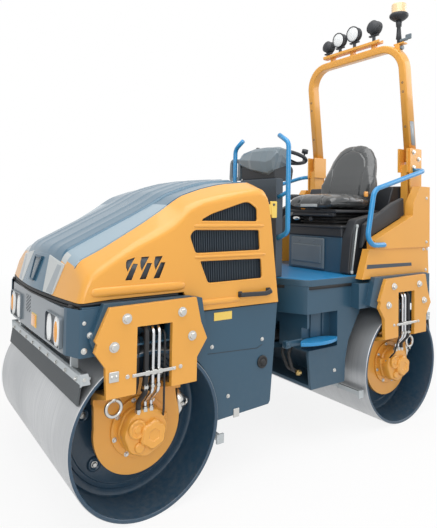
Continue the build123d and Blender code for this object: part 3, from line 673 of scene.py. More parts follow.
def holedPlate(outline, holes):
    # triangles of a constrained net whose middles lie in the outline and outside the holes
    loops = [np.asarray(loop, float) for loop in (outline, *holes)]
    starts = np.cumsum([0] + [len(loop) for loop in loops])
    edges = [(int(a + k), int(a + (k + 1) % len(loop))) for a, loop in zip(starts, loops)
             for k in range(len(loop))]
    net = delaunay_2d_cdt([Vector(p) for p in np.concatenate(loops)], edges, [], 0, 1e-7)
    points, threes = np.array([tuple(p) for p in net[0]]), np.array(net[2])
    return points, threes[inLoops(points[threes].mean(1), loops)].tolist()


def quadratic(a, corner, b, u):
    # (1 - u)^2 * a + 2 * u * (1 - u) * corner + u^2 * b
    return (1 - u) ** 2 * a + 2 * u * (1 - u) * corner + u ** 2 * b


def rounded(outline, radius, steps=4):
    # each corner of a flat outline becomes a quadratic curve between points on its two sides
    outline = np.asarray(outline, float)
    before, after = np.roll(outline, 1, 0), np.roll(outline, -1, 0)
    back, ahead = before - outline, after - outline
    lenBack, lenAhead = np.linalg.norm(back, axis=1), np.linalg.norm(ahead, axis=1)
    cut = np.minimum(radius, 0.48 * np.minimum(lenBack, lenAhead))[:, None]
    a = outline + back / lenBack[:, None] * cut
    b = outline + ahead / lenAhead[:, None] * cut
    u = np.linspace(0, 1, steps + 1)[None, :, None]
    return quadratic(a[:, None], outline[:, None], b[:, None], u).reshape(-1, 2)


hoodSet = {
    "half": 0.612,                 # metres from the middle to the side
    "bandEdge": 0.478,             # where the yellow ends
    "topEdge": 0.302,              # where the ribbed top panel ends
    "crease": 0.036,               # length of the side crease's rounding
    "wall": 0.018,
    "bottom": 1.048,
    "lean": 0.28,                  # how far the nose leans back per metre up
    "ribs": (0.205, 0.085),        # places of the top panel's ridges
    "ribRise": 0.004,
}
noseSpots = ([0.0, 0.15, 0.3, 0.43, 0.575, 0.6, 0.612], [1.404, 1.399, 1.388, 1.375, 1.356, 1.347, 1.33])
creaseSpots = ([0.236, 0.3, 0.415, 0.552, 0.7, 0.775, 0.817, 0.863, 0.948, 1.056, 1.168, 1.255, 1.3, 1.35],
               [1.602, 1.604, 1.588, 1.56, 1.528, 1.492, 1.446, 1.407, 1.364, 1.317, 1.254, 1.198, 1.166,
                1.124])
bandSpots = ([0.236, 0.3, 0.49, 0.63, 0.757, 0.82, 0.878, 0.993, 1.1, 1.205, 1.304, 1.35],
             [1.652, 1.65, 1.63, 1.597, 1.553, 1.512, 1.47, 1.398, 1.336, 1.276, 1.228, 1.205])
topSpots = ([0.236, 0.3, 0.49, 0.6, 0.75, 0.845, 0.966, 1.08, 1.19, 1.315, 1.35],
            [1.66, 1.658, 1.64, 1.612, 1.558, 1.5, 1.436, 1.378, 1.322, 1.258, 1.24])


def noseAt(y, z):
    # plan of the nose from the table, leaning back with height
    return np.interp(np.abs(y), *noseSpots) - hoodSet["lean"] * (z - hoodSet["bottom"])


def softCurve(x, spots, reach=0.02):
    # the table read at five places round x and averaged, which rounds its corners
    return np.interp(x[:, None] + np.linspace(-reach, reach, 5), *spots).mean(1)


def hoodSection(x):
    # rows of (y, z) for each x: rounded side crease, facet, groove, pale band, step, ribbed top panel
    s = hoodSet
    side, band, top = (softCurve(x, spots) for spots in (creaseSpots, bandSpots, topSpots))
    corner = np.stack([0 * x + s["half"], side], -1)
    edge = np.stack([0 * x + s["bandEdge"], band], -1)
    facet = unitRows(edge - corner)
    low = corner - (0, s["crease"])
    high = corner + facet * s["crease"] * 1.3
    u = np.linspace(0, 1, 7)[None, :, None]
    columns = [quadratic(low[:, None], corner[:, None], high[:, None], u)]

    def column(y, z):
        # one column of the skin, at across y and height z
        columns.append(np.stack([0 * x + y, z], -1)[:, None])

    slope = (top - band) / (s["bandEdge"] - s["topEdge"])
    for inset, rise in ((0.0, 0.0), (0.003, -0.005), (0.008, -0.005), (0.011, 0.003)):
        column(s["bandEdge"] - inset, band + slope * inset + rise)
    crown = 0.01
    for y, rise in ((0.372, 0.003), (0.31, 0.003), (0.302, 0.012), (0.292, 0.015)):
        column(y, top - max(y - 0.302, 0) * slope + rise)
    for rib in s["ribs"]:
        for dy, rise in ((0.026, 0.0), (0.01, s["ribRise"]), (-0.01, s["ribRise"]), (-0.026, 0.0)):
            column(rib + dy, top + 0.015 + crown * (1 - (rib + dy) / 0.3) + rise)
    column(0, top + 0.015 + crown)
    return np.concatenate(columns, 1)


def hoodShell():
    # half skin: rows run up the nose, back along the top and down the rear, columns from side to middle
    s = hoodSet
    rowX = np.concatenate([np.linspace(1.295, 0.87, 14), np.linspace(0.85, 0.72, 9),
                           np.linspace(0.68, 0.3, 8)])
    body = hoodSection(rowX)
    first = hoodSection(np.array([1.338]))[0]
    y, z = first[:, 0], first[:, 1]
    drop = np.minimum(0.034, 0.45 * (z - s["bottom"]))
    up = np.array([0, 0.2, 0.4, 0.6, 0.8])[:, None]
    noseZ = s["bottom"] + up * (z - drop - s["bottom"])
    nose = np.stack([noseAt(y, noseZ), np.broadcast_to(y, noseZ.shape), noseZ], -1)
    lipLow = np.stack([noseAt(y, z - drop), y, z - drop], -1)
    lipTop = np.stack([noseAt(y, z), y, z], -1)
    lipBack = np.stack([0 * y + 1.295, body[0, :, 0], body[0, :, 1]], -1)
    u = np.array([0.0, 0.25, 0.5, 0.75])[:, None, None]
    lip = quadratic(lipLow, lipTop, lipBack, u)
    top = np.concatenate([np.broadcast_to(rowX[:, None, None], (*body.shape[:2], 1)), body], -1)
    last = body[-1]
    back = []
    for x, drop in ((0.262, 0.01), (0.243, 0.034), (0.234, 0.062)):
        back.append(np.stack([0 * last[:, 0] + x, last[:, 0], last[:, 1] - drop], -1))
    for x, height in ((0.218, 1.43), (0.155, 0.951)):
        back.append(np.stack([0 * last[:, 0] + x, last[:, 0], 0 * last[:, 0] + height], -1))
    grid = np.concatenate([nose, lip, top, np.stack(back)], 0)
    rows, cols = grid.shape[:2]
    faces = meshGrid(rows, cols)
    column = np.tile(np.arange(cols - 1), rows - 1)
    row = np.repeat(np.arange(rows - 1), cols - 1)
    yellow, pale, gloss, black, trim = range(5)            # places in hoodFinishes
    crease, groove, band = 7, 9, 12                        # columns where each stretch ends
    front, rear = len(nose) + len(lip), rows - 3           # rows where the top starts and ends
    bands = np.select([column < crease, column < groove, column < band], [yellow, black, pale], gloss)
    bands[(row < front - 3) & (column < band)] = yellow
    bands[(row >= front - 4) & (row < front - 1) & (column == band - 1)] = trim
    bands[row >= rear] = yellow
    bands[(row >= front + 15) & (row < rear) & (column >= groove) & (column < band)] = gloss
    edge = (np.arange(rows) * cols).tolist()
    foot = np.array([[0.746, s["half"], 0.953], [0.803, s["half"], 1.06], [1.2, s["half"], 1.056]])
    outline = np.concatenate([grid.reshape(-1, 3)[edge], foot])
    flat, threes = holedPlate(outline[:, (0, 2)], sideHoles())
    side = np.insert(flat, 1, s["half"], axis=1)
    return joined([(grid, faces, bands.tolist()), (side, threes, [0] * len(threes))])


# holes in the hood's side, as outlines in (x, z): windows, and the two parts of a zigzag mark
windowOutlines = [
    [(0.706, 1.418), (0.316, 1.416), (0.318, 1.498), (0.382, 1.536), (0.42, 1.534), (0.64, 1.466),
     (0.7, 1.436)],
    [(0.777, 1.346), (0.747, 1.382), (0.301, 1.378), (0.291, 1.253), (0.738, 1.249)],
    [(0.713, 1.217), (0.283, 1.215), (0.273, 1.092), (0.656, 1.088)],
]
zigzagSet = {"start": 1.065, "step": -0.0755, "margin": 0.006}
zigzagTop = [(0.058, 1.249), (0.011, 1.25), (0.045, 1.191), (0.052, 1.174), (0.063, 1.2), (0.064, 1.224)]
zigzagFoot = [(0.026, 1.219), (-0.004, 1.217), (0.029, 1.137), (0.068, 1.137)]


def sideHoles():
    # the windows, then each zigzag mark moved on by start + step * k
    holes = [rounded(outline, 0.02) for outline in windowOutlines]
    for k in range(3):
        place = (zigzagSet["start"] + zigzagSet["step"] * k, 0)
        for part in (zigzagTop, zigzagFoot):
            mark = np.asarray(part) + place
            # a mark stays below the edge where the side turns into the crease
            ceiling = np.interp(mark[:, 0], *creaseSpots) - hoodSet["crease"] - zigzagSet["margin"]
            mark[:, 1] = np.minimum(mark[:, 1], ceiling)
            holes.append(rounded(mark, 0.003, 2))
    return holes


hoodFinishes = ("yellowPaint", "bandPaint", "slateGloss", "grilleBlack", "paleTrim")
hood = hoodPiece("hoodShell", bothSides(hoodShell()), hoodFinishes, "body_paint")
wall = hood.modifiers.new("wall", "SOLIDIFY")
wall.thickness = hoodSet["wall"]
wall.offset = -1
finishEdges(hood, 0.002)
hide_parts("hood", "hood_top_panel")


def rimRing(hole, radius):
    # a thin round bead let into the side's edge all round a hole
    route = np.insert(np.asarray(hole), 1, hoodSet["half"] - radius * 0.85, axis=1)
    return carried(route, circle(radius, 10), closed=True, up=(0, 1, 0))


rims = [rimRing(hole, 0.0065 if k < 3 else 0.0022) for k, hole in enumerate(sideHoles())]
hoodPiece("hoodRims", bothSides(*rims), "yellowPaint")
print("hood shell")

# raised beads pressed into the hood's side: (start x, end x, low z, high z, rise) in metres
beadSet = {
    "long front": (0.795, 1.3, 1.068, 1.118, 0.012),
    "long rear": (0.44, 0.74, 0.976, 1.01, 0.011),
    "upper bar": (0.268, 0.752, 1.386, 1.408, 0.007),
    "middle bar": (0.254, 0.746, 1.224, 1.244, 0.007),
}


def bead(x0, x1, z0, z1, rise, y):
    # a lens-ended ridge sunk in the side: height = rise * sqrt(1 - across^2) * sqrt(1 - along^16)
    sunk = 0.004
    a, b = np.meshgrid(np.sin(np.linspace(-np.pi / 2, np.pi / 2, 41)), np.linspace(-1, 1, 13), indexing="ij")
    taper = (1 - np.abs(a) ** 16).clip(0) ** 0.5
    x = (x0 + x1) / 2 + a * (x1 - x0) / 2
    z = (z0 + z1) / 2 + b * taper * (z1 - z0) / 2
    out = y - sunk + (rise + sunk) * np.sqrt(np.clip(1 - b ** 2, 0, 1)) * taper
    grid = np.stack([x, out, z], -1)
    faces = meshGrid(*a.shape)
    back = [[a.size + k for k in reversed(face)] for face in faces]
    return plain(np.stack([grid, grid * (1, 0, 1) + (0, y - sunk, 0)]), faces + back)


beads = [bead(*row, hoodSet["half"]) for row in beadSet.values()]
hoodPiece("hoodBeads", bothSides(*beads), "yellowPaint")

# nose trim: flat plates over the nose, corners in (y, z)
noseTrimSet = {
    "white": ([(0.15, 1.232), (0.366, 1.2), (0.33, 1.052), (0.205, 1.052)], 0.006, "paleTrim"),
    "grey": ([(0.292, 1.196), (0.342, 1.194), (0.322, 1.056), (0.248, 1.056)], 0.0068, "greyTrim"),
    "centre": ([(-0.149, 1.233), (0.149, 1.233), (0.204, 1.052), (-0.204, 1.052)], 0.004, "slateGloss"),
}


def nosePlate(corners, thick, lift=0.0, steps=9):
    # bilinear patch of four (y, z) corners laid on the nose, with a second skin sunk behind it and a rim
    a, b, c, d = (np.asarray(p, float) for p in corners)
    u, v = np.meshgrid(*[np.linspace(0, 1, steps)] * 2, indexing="ij")
    u, v = u[..., None], v[..., None]
    flat = (1 - u) * ((1 - v) * a + v * b) + u * ((1 - v) * d + v * c)
    x = noseAt(flat[..., 0], flat[..., 1])
    sunk = 0.004
    grid = [np.concatenate([(x + lift + out)[..., None], flat], -1) for out in (thick, -sunk)]
    n = steps * steps
    faces = meshGrid(steps, steps)
    faces += [[n + k for k in reversed(face)] for face in faces]
    index = np.arange(n).reshape(steps, steps)
    rim = np.concatenate([index[0, :-1], index[:-1, -1], index[-1, :0:-1], index[:0:-1, 0]])
    for p, q in zip(rim, np.roll(rim, -1)):
        faces.append([int(q), int(p), int(p) + n, int(q) + n])
    return plain(grid, faces)


for key, (corners, thick, finish) in noseTrimSet.items():
    plate = nosePlate(corners, thick)
    hoodPiece("noseTrim" + key.capitalize(), plate if key == "centre" else bothSides(plate), finish,
              "chassis_paint", bevel=0.0006 if key == "grey" else 0.0025)

# the bare badge place: an open frame with upright bars in it, in the middle of the nose
badgeSet = {"half": (0.064, 0.036), "top": 1.216, "foot": 1.086, "bars": 5, "rim": 0.009}


def badgeFrame(s):
    # the frame's four sides and the bars are nose plates between straight lines that narrow downward
    (wide, narrow), top, foot, rim = s["half"], s["top"], s["foot"], s["rim"]
    parts = [[(sign * wide, top), (sign * (wide - rim), top), (sign * (narrow - rim), foot),
              (sign * narrow, foot)] for sign in (-1, 1)]
    parts += [[(-wide, top), (wide, top), (wide - 0.002, top - rim), (-wide + 0.002, top - rim)],
              [(-narrow - 0.002, foot + rim), (narrow + 0.002, foot + rim), (narrow, foot), (-narrow, foot)]]
    frameParts = [nosePlate(p, 0.012, 0.003, 5) for p in parts]
    bars = []
    for t in np.linspace(-0.72, 0.72, s["bars"]):
        a, b = t * (wide - rim), t * (narrow - rim)
        bars.append(nosePlate([(a - 0.0032, top - rim), (a + 0.0032, top - rim), (b + 0.0024, foot + rim),
                               (b - 0.0024, foot + rim)], 0.007, 0.003, 5))
    return joined(frameParts), joined(bars)


badgeRim, badgeBars = badgeFrame(badgeSet)
hoodPiece("noseBadgeRim", badgeRim, "slatePaint", bevel=0.002)
hoodPiece("noseBadgeBars", badgeBars, "greyTrim", bevel=0.0008)
hoodPiece("noseBadgeBack", nosePlate([(-0.058, 1.212), (0.058, 1.212), (0.033, 1.09), (-0.033, 1.09)], 0.0015,
                                     0.004), "grilleBlack")

# rubber seal under the hood's edge: one lip round the nose and sides, on the chassis
sealSet = {"radius": 0.0075, "drop": 0.01}


def sealRoute():
    # along the side's lower edge, then across the nose through its plan table, mirrored for the other side
    y = np.linspace(0.59, 0, 12)
    z = 0 * y + hoodSet["bottom"] - sealSet["drop"]
    front = np.stack([noseAt(y, z) - 0.006, y, z], -1)
    side = np.array([[0.835, 0.604, 1.05], [1.1, 0.604, 1.046], [1.318, 0.604, 1.04]])
    half = np.concatenate([side, front])
    return np.concatenate([half, half[-2::-1] * (1, -1, 1)])


seal = carried(sealRoute(), circle(sealSet["radius"], 10))
hoodPiece("hoodSeal", seal, "blackRubber")
lipRoute = sealRoute()[3:-3] - (0.002, 0, 0.018)
frontPiece("hoodSealLip", carried(lipRoute, circle(0.0055, 10)), "blackRubber")

# upright slats behind the windows, with a dark screen behind them
slatSet = {"from": 0.262, "to": 0.795, "pitch": 0.0118, "wide": 0.0036, "deep": 0.012, "y": 0.588}


def slatShapes(s):
    # upright bars between the grille's lower and upper line, one box of eight points for each place
    x = np.arange(s["from"], s["to"], s["pitch"])
    low = np.interp(x, [0.25, 0.65, 0.67, 0.8], [1.075, 1.075, 1.08, 1.245])
    high = np.interp(x, [0.25, 0.3, 0.39, 0.7, 0.8], [1.5, 1.53, 1.55, 1.44, 1.395])
    w, d = s["wide"] / 2, s["deep"]
    corner = np.array([(-w, 0, 0), (w, 0, 0), (w, -d, 0), (-w, -d, 0)])
    base = np.stack([x, 0 * x + s["y"], low], -1)[:, None] + corner
    top = np.stack([x, 0 * x + s["y"], high], -1)[:, None] + corner
    points = np.concatenate([base, top], 1).reshape(-1, 3)
    one = np.array([(0, 1, 2, 3), (4, 5, 6, 7), (0, 1, 5, 4), (1, 2, 6, 5), (2, 3, 7, 6), (3, 0, 4, 7)])
    faces = (one[None] + 8 * np.arange(len(x))[:, None, None]).reshape(-1, 4).tolist()
    return plain(points, faces)


slats = hoodPiece("hoodSlats", bothSides(slatShapes(slatSet)), "slatBlue", smooth=False)
screen = rounded([(0.795, 1.4), (0.7, 1.44), (0.395, 1.555), (0.29, 1.53), (0.25, 1.07), (0.67, 1.07)], 0.02)
hoodPiece("hoodScreen", bothSides(sideSlab(screen, 0.568, 0.573)), "grilleBlack", bevel=0.001)
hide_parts("hood_grilles")
zigBack = sideSlab([(0.86, 1.125), (1.15, 1.125), (1.138, 1.222), (1.124, 1.246), (1.11, 1.256),
                    (0.86, 1.256)], 0.596, 0.6075)
hoodPiece("hoodSlotBacks", bothSides(zigBack), "grilleBlack")

# latch handles: a bar with its rear end hooked up
handleSet = {"route": [(0.44, 0.622, 1.016), (0.44, 0.636, 1.018), (0.275, 0.64, 1.014), (0.236, 0.64, 1.024),
                       (0.233, 0.622, 1.03)], "bends": (0.008, 0.03, 0.01), "wide": 0.009, "tall": 0.0125}
handleProfile = rectangle(handleSet["wide"], handleSet["tall"], 0.006)
handle = carried(bentRoute(handleSet["route"], handleSet["bends"], 5), handleProfile)
handlePlates = [roundBox((0.222, 0.606, 1.0), (0.252, 0.622, 1.04), 0.004),
                roundBox((0.428, 0.606, 1.002), (0.452, 0.622, 1.034), 0.004)]
handles = hoodPiece("hoodHandles", bothSides(handle, *handlePlates), "blackPlastic")
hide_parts("hood_handles")

# catch plate and its screw on the hood's rear corner
catchPlate = sideSlab(rounded([(0.21, 1.54), (0.16, 1.54), (0.16, 1.442), (0.197, 1.442)], 0.006), 0.588,
                      0.598)
catchTongue = sideSlab([(0.19, 1.46), (0.262, 1.46), (0.262, 1.522), (0.19, 1.522)], 0.584, 0.595)
hoodPiece("hoodCatch", bothSides(catchPlate, catchTongue), "plateYellow", bevel=0.002)
hoodPiece("hoodCatchScrew", bothSides(boltShape([(0.186, 0.598, 1.52)], 0.006)), "castIron", bevel=0.0005)
print("hood trim")

# drums: one revolved skin each, steel outside and painted inside, with the rubber mounts' bolts on both webs
drumSet = {
    "x": 1.0, "z": 0.4, "radius": 0.4, "half": 0.65, "wall": 0.02, "web": 0.42,
    "hub": (0.105, 0.491), "shaft": (0.035, 0.565),
    "mounts": 6, "mountRing": 0.262, "mountTurn": 15.4,
}


def drumProfile(s):
    # rows of (radius, along): half a drum from the middle out over the rim, down the web to the shaft's end
    r, w, web = s["radius"], s["half"], s["web"]
    inner = r - s["wall"]
    (hub, hubEnd), (shaft, shaftEnd) = s["hub"], s["shaft"]
    half = [(r, 0, 0), (r, w - 0.004, 0), (r - 0.003, w, 0), (inner + 0.003, w, 1), (inner, w - 0.004, 1),
            (inner, web + 0.018, 1), (inner - 0.006, web + 0.006, 1), (inner - 0.018, web, 1),
            (0.345, web, 1), (0.342, web + 0.005, 1), (0.322, web + 0.005, 1), (0.318, web, 1),
            (0.205, web, 1), (0.2, web + 0.01, 1), (0.15, web + 0.014, 1), (hub + 0.012, web + 0.018, 1),
            (hub, web + 0.026, 1), (hub, hubEnd - 0.006, 1), (hub - 0.006, hubEnd, 1),
            (shaft + 0.01, hubEnd, 1), (shaft, hubEnd + 0.004, 2), (shaft, shaftEnd, 2), (0, shaftEnd, 2)]
    rows = np.array(half)
    both = np.concatenate([rows[::-1] * (1, -1, 1), rows[1:]])
    bands = np.concatenate([rows[::-1][:-1, 2], rows[1:, 2]]).astype(int)
    return both[:, :2], bands


def drumPieces(end, x):
    # the drum's profile turned round the axle
    s = drumSet
    profile, bands = drumProfile(s)
    shell = turned(profile, (x, 0, s["z"]), (0, 1, 0), 144, bands, 0.5)
    drum = addPiece(end + "_drum", end + "DrumShell", shell, ["drumSteel", "navyPaint", "castIron"],
                    bevel=0.0012)
    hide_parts(end + "_drum")
    cup = [(0.036, 0), (0.036, 0.007), (0.03, 0.012), (0.024, 0.012), (0.021, 0.005), (0.015, 0.005)]
    a = np.radians(s["mountTurn"] + 360 / s["mounts"] * np.arange(s["mounts"]))
    spots = np.stack([x + s["mountRing"] * np.cos(a), 0 * a + s["web"], s["z"] + s["mountRing"] * np.sin(a)],
                     -1)
    cups = [turned(cup, spot, (0, 1, 0), 24) for spot in spots]
    addPiece(end + "_drum", end + "DrumMounts", bothSides(*cups), "navyPaint")
    bolts = boltShape(spots + (0, 0.004, 0), 0.0125)
    addPiece(end + "_drum", end + "DrumBolts", bothSides(bolts), "zincSteel", bevel=0.0008)


# both ends of the machine: name, drum's place, and the way that faces outward
machineEnds = (("front", drumSet["x"], 1), ("rear", -drumSet["x"], -1))
for end, x, way in machineEnds:
    drumPieces(end, x)
print("drums")

# fork bolts, as places (along the machine from the drum's axis, height)
forkSet = {
    "face": 0.682, "lowFace": 0.525,
    "big": [(0.148, 0.974), (-0.148, 0.976), (-0.208, 0.852), (0.208, 0.852)], "bigSize": 0.0185,
    "small": [(-0.144, 0.71), (0.139, 0.708)], "smallSize": 0.008,
    "padPlace": (0.207, 0.719), "pad": 0.024,
    "lug": (-0.256, 0.453),
}


def forkBolts(end, x, way):
    # place = axle + way * offset, so the rear mirrors the front
    s = forkSet
    body = end + "_frame"
    big = [(x + way * dx, s["face"], z) for dx, z in s["big"]]
    small = [(x + way * dx, s["face"], z) for dx, z in s["small"]]
    lug = [(x + way * s["lug"][0], s["lowFace"], s["lug"][1])]
    parts = [boltShape(big, s["bigSize"]), boltShape(small + lug, s["smallSize"])]
    addPiece(body, end + "ForkBolts", bothSides(*parts), "zincSteel", bevel=0.0009)
    if end == "rear":
        return
    px, pz, h = x + way * s["padPlace"][0], s["padPlace"][1], s["pad"]
    pad = roundBox((px - h, s["face"] - 0.001, pz - h), (px + h, s["face"] + 0.007, pz + h), 0.004)
    screws = boltShape([(px - h * 0.45, s["face"] + 0.007, pz), (px + h * 0.45, s["face"] + 0.007, pz)],
                       0.0055)
    addPiece(body, end + "ForkPads", bothSides(pad, screws), "zincSteel")


for row in machineEnds:
    forkBolts(*row)

# drum drive: flange, rounded body with lobes, two bosses, port block and its bolts
motorSet = {
    "flange": (0.15, 0.525, 0.538), "ring": 0.137, "bolts": 8, "boltTurn": 30.0, "boltSize": 0.0095,
    "body": 0.116, "bodyEnd": 0.622, "lobes": 8, "lobeDepth": 0.035,
}


def lobed(profile, origin, steps, lobes, depth, phase=0.0):
    # revolved about +Y with the radius times 1 + depth * cos(lobes * a)
    points, faces, bands = turned(profile, (0, 0, 0), (0, 1, 0), steps)
    a = np.arctan2(points[:, 2], points[:, 0]) + phase
    swell = 1 + depth * np.cos(lobes * a)
    return points * np.stack([swell, 1 + 0 * a, swell], -1) + np.asarray(origin), faces, bands


def motorShapes(x, way):
    # profiles turned round the axle
    s = motorSet
    r, y0, y1 = s["flange"]
    z, b, end = drumSet["z"], s["body"], s["bodyEnd"]
    flange = turned([(0, y0), (r - 0.002, y0), (r, y0 + 0.003), (r, y1 - 0.003), (r - 0.003, y1), (b, y1)],
                    (x, 0, z), (0, 1, 0), 72)
    body = lobed([(b + 0.004, y1 - 0.003), (b + 0.004, 0.556), (b - 0.002, 0.562), (b - 0.002, 0.572),
                  (b + 0.001, 0.578), (b + 0.001, end - 0.02), (b - 0.006, end - 0.006), (b - 0.02, end),
                  (0.07, end + 0.002), (0.0, end + 0.002)], (x, 0, z), 96, s["lobes"], s["lobeDepth"] * 0.6)
    hexBoss = lobed([(0.068, end - 0.006), (0.067, 0.64), (0.058, 0.65), (0.03, 0.65), (0.026, 0.645),
                     (0.0, 0.644)], (x - 0.026, 0, z - 0.008), 60, 6, 0.06, 0.4)
    disc = turned([(0.046, end - 0.004), (0.046, 0.634), (0.04, 0.64), (0.034, 0.64), (0.031, 0.634),
                   (0.02, 0.633), (0.016, 0.638), (0.0, 0.639)], (x + 0.056, 0, z + 0.03), (0, 1, 0), 40)
    small = turned([(0.026, end - 0.004), (0.026, 0.63), (0.02, 0.635), (0.0, 0.635)],
                   (x + 0.04, 0, z - 0.062), (0, 1, 0), 28)
    ports = roundBox((x - 0.064, 0.534, z + 0.05), (x + 0.064, 0.618, z + 0.1), 0.01)
    ear = roundBox((x - way * 0.118 - 0.022, 0.534, z + 0.01), (x - way * 0.118 + 0.022, 0.572, z + 0.052),
                   0.008)
    a = np.radians(s["boltTurn"] + 360 / s["bolts"] * np.arange(s["bolts"]))
    a = a[np.abs(np.sin(a) - 1) > 0.02]                     # none under the port block
    spots = np.stack([x + s["ring"] * np.cos(a), 0 * a + y1, z + s["ring"] * np.sin(a)], -1)
    return joined([flange, body, hexBoss, disc, small, ports, ear]), boltShape(spots, s["boltSize"])


for end, x, way in machineEnds:
    motor, motorBolts = motorShapes(x, way)
    motorOb = addPiece(end + "_frame", end + "DrumDrive", bothSides(motor), "yellowPaint", bevel=0.0018)
    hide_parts(end + "_drum_motors")
    addPiece(end + "_frame", end + "DriveBolts", bothSides(motorBolts), "zincSteel", bevel=0.0007)

# hydraulic lines through the fork's window: steel pipes above, fittings and hoses below
lineSet = {
    "steel": (-0.03, 0.002), "hose": (0.038,), "steelRadius": 0.0085, "hoseRadius": 0.0125,
    "top": 0.918, "inside": 0.585, "out": 0.668, "lowOut": 0.608, "join": 0.595, "foot": 0.5, "shift": 0.006,
    "bends": (0.034, 0.03, 0.02),
    "nut": (0.0165, 0.016), "collar": 0.013,
    "thin": 0.064, "thinRadius": 0.0055, "thinBends": (0.03, 0.05, 0.03),
    # hoses behind, as (place along the machine, how far out)
    "behind": ((0.07, 0.64), (-0.012, 0.63), (0.022, 0.628)), "behindRadius": 0.0105,
    "fitting": [(0, -0.028), (0.008, -0.028), (0.008, -0.008), (0.012, -0.007), (0.012, 0.012),
                (0.007, 0.014), (0.007, 0.026), (0, 0.026)],
    "clampZ": (0.7, 0.716), "clampHalf": 0.116, "clampFace": 0.688, "screw": 0.0055,
}


def nutShape(place, radius, tall, axis=(0, 0, 1)):
    # hexagon nut with a round collar either side: the radius times a six-sided factor
    rows = [(radius * 0.72, -tall), (radius * 0.72, -tall * 0.5), (radius, -tall * 0.48),
            (radius, tall * 0.48), (radius * 0.72, tall * 0.5), (radius * 0.72, tall)]
    return turned(rows, place, axis, 6, phase=0.3)


def lineShapes(x, way):
    # each line goes out, down over the fork and back in; place = axle + way * offset
    s = lineSet
    top, out, lowOut, foot, join = (s[k] for k in ("top", "out", "lowOut", "foot", "join"))
    pipes, hoses, nuts = [], [], []
    for dx in s["steel"] + s["hose"]:
        px = x + way * dx
        low = px + way * s["shift"]
        soft = dx in s["hose"]
        route = [(px, s["inside"], top), (px, out, top), (px, out, join + 0.02), (low, lowOut, join - 0.045),
                 (low, lowOut, foot)]
        radius = s["hoseRadius"] if soft else s["steelRadius"]
        (hoses if soft else pipes).append(tubeShape(route, s["bends"], radius, 16, 8))
        nuts.append(nutShape((low, lowOut, foot + 0.008), *s["nut"]))
        nuts.append(nutShape((px, out, join + 0.045), radius + 0.0055, s["collar"]))
    side, high = x - way * s["thin"], top - 0.03
    hoses.append(tubeShape([(side, 0.59, high), (side, 0.664, high), (side, 0.664, 0.6),
                            (side - way * 0.014, 0.64, 0.5), (side - way * 0.03, 0.6, 0.445)], s["thinBends"],
                           s["thinRadius"], 12, 6))
    for dx, y in s["behind"]:
        px, high = x + way * dx, top - 0.05
        hoses.append(tubeShape([(px, 0.59, high), (px, y, high), (px, y, 0.66), (px, y - 0.02, 0.6)],
                               s["thinBends"][:2], s["behindRadius"], 12, 6))
    fitting = turned(s["fitting"], (side - way * 0.036, 0.588, 0.428), (way * 0.3, 0.35, 1), 18)
    (z0, z1), face = s["clampZ"], s["clampFace"]
    strap = roundBox((x - s["clampHalf"], face - 0.0065, z0), (x + s["clampHalf"], face, z1), 0.003)
    blocks = [roundBox((x + way * dx - 0.012, 0.654, z0 - 0.004), (x + way * dx + 0.012, 0.69, z1 + 0.004),
                       0.004) for dx in s["steel"] + s["hose"]]
    reach = s["clampHalf"] - 0.011
    screws = boltShape([(x + k * reach, face, (z0 + z1) / 2) for k in (-1, 1)], s["screw"])
    return joined(pipes), joined(hoses), joined([*nuts, fitting, strap, *blocks, screws])


for end, x, way in machineEnds:
    pipes, hoses, nuts = lineShapes(x, way)
    pipeOb = addPiece(end + "_frame", end + "SteelPipes", bothSides(pipes), "brightPipe")
    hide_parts(end + "_hydraulic_pipes")
    addPiece(end + "_frame", end + "DriveHoses", bothSides(hoses), "blackRubber")
    addPiece(end + "_frame", end + "DriveFittings", bothSides(nuts), "zincSteel", bevel=0.0007)
print("forks, drives and lines")

# front: side cover, bumper recesses, lamps and the small plates between them
frontSet = {
    "face": 1.385,
    "recess": [(0.247, 0.818), (0.247, 0.955), (0.262, 0.968), (0.478, 0.968), (0.488, 0.955),
               (0.488, 0.818)],
    # lamps as (y, z, half width, half height)
    "white": [(0.303, 0.888, 0.03, 0.06), (0.428, 0.893, 0.034, 0.064)],
    "amber": (0.432, 0.893, 0.023, 0.05),
    "dotsAt": (-0.15, 0.905), "dotPitch": 0.019, "reflector": (0.012, 0.868, 0.04, 0.031),
}


def ovalDome(y, z, wide, tall, x0, rise, rim=0.0):
    # quarter turn rows: out along +X by rise * cos t while the oval grows by sin t, a rim step, shut behind
    t = np.linspace(0, np.pi / 2, 8)
    step = [(1 + rim * 0.3, 0.004), (1 + rim * 0.8, 0.004), (1 + rim, 0.0)] if rim else []
    rows = np.array([*zip(np.sin(t), rise * np.cos(t)), *step, (1 + rim, -0.006), (0, -0.006)])
    a = fullTurn(36)
    grid = np.stack([x0 + rows[:, 1, None] + 0 * a, y + wide * rows[:, 0, None] * np.cos(a),
                     z + tall * rows[:, 0, None] * np.sin(a)], -1)
    return plain(grid, meshGrid(len(rows), 36, wrapCols=True))


def facingRing(outline, inset, x0, x1, deep=0.01):
    # a rim round an outline of (y, z): outer wall, front lip, then inner wall and floor shrunk to the middle
    outline = np.asarray(outline, float)
    mid = outline.mean(0)
    inner = mid + (outline - mid) * (1 - inset)
    loops = [(outline, x0), (outline, x1 - 0.002), (outline + (mid - outline) * 0.01, x1), (inner, x1),
             (inner + (mid - inner) * 0.02, x1 - deep), (0 * inner + mid, x1 - deep)]
    grid = np.stack([np.insert(loop, 0, x, axis=1) for loop, x in loops])
    faces = meshGrid(len(loops), len(outline), wrapCols=True)
    bands = np.repeat([0, 0, 0, 1, 1], len(outline))
    return grid.reshape(-1, 3), faces, bands.tolist()


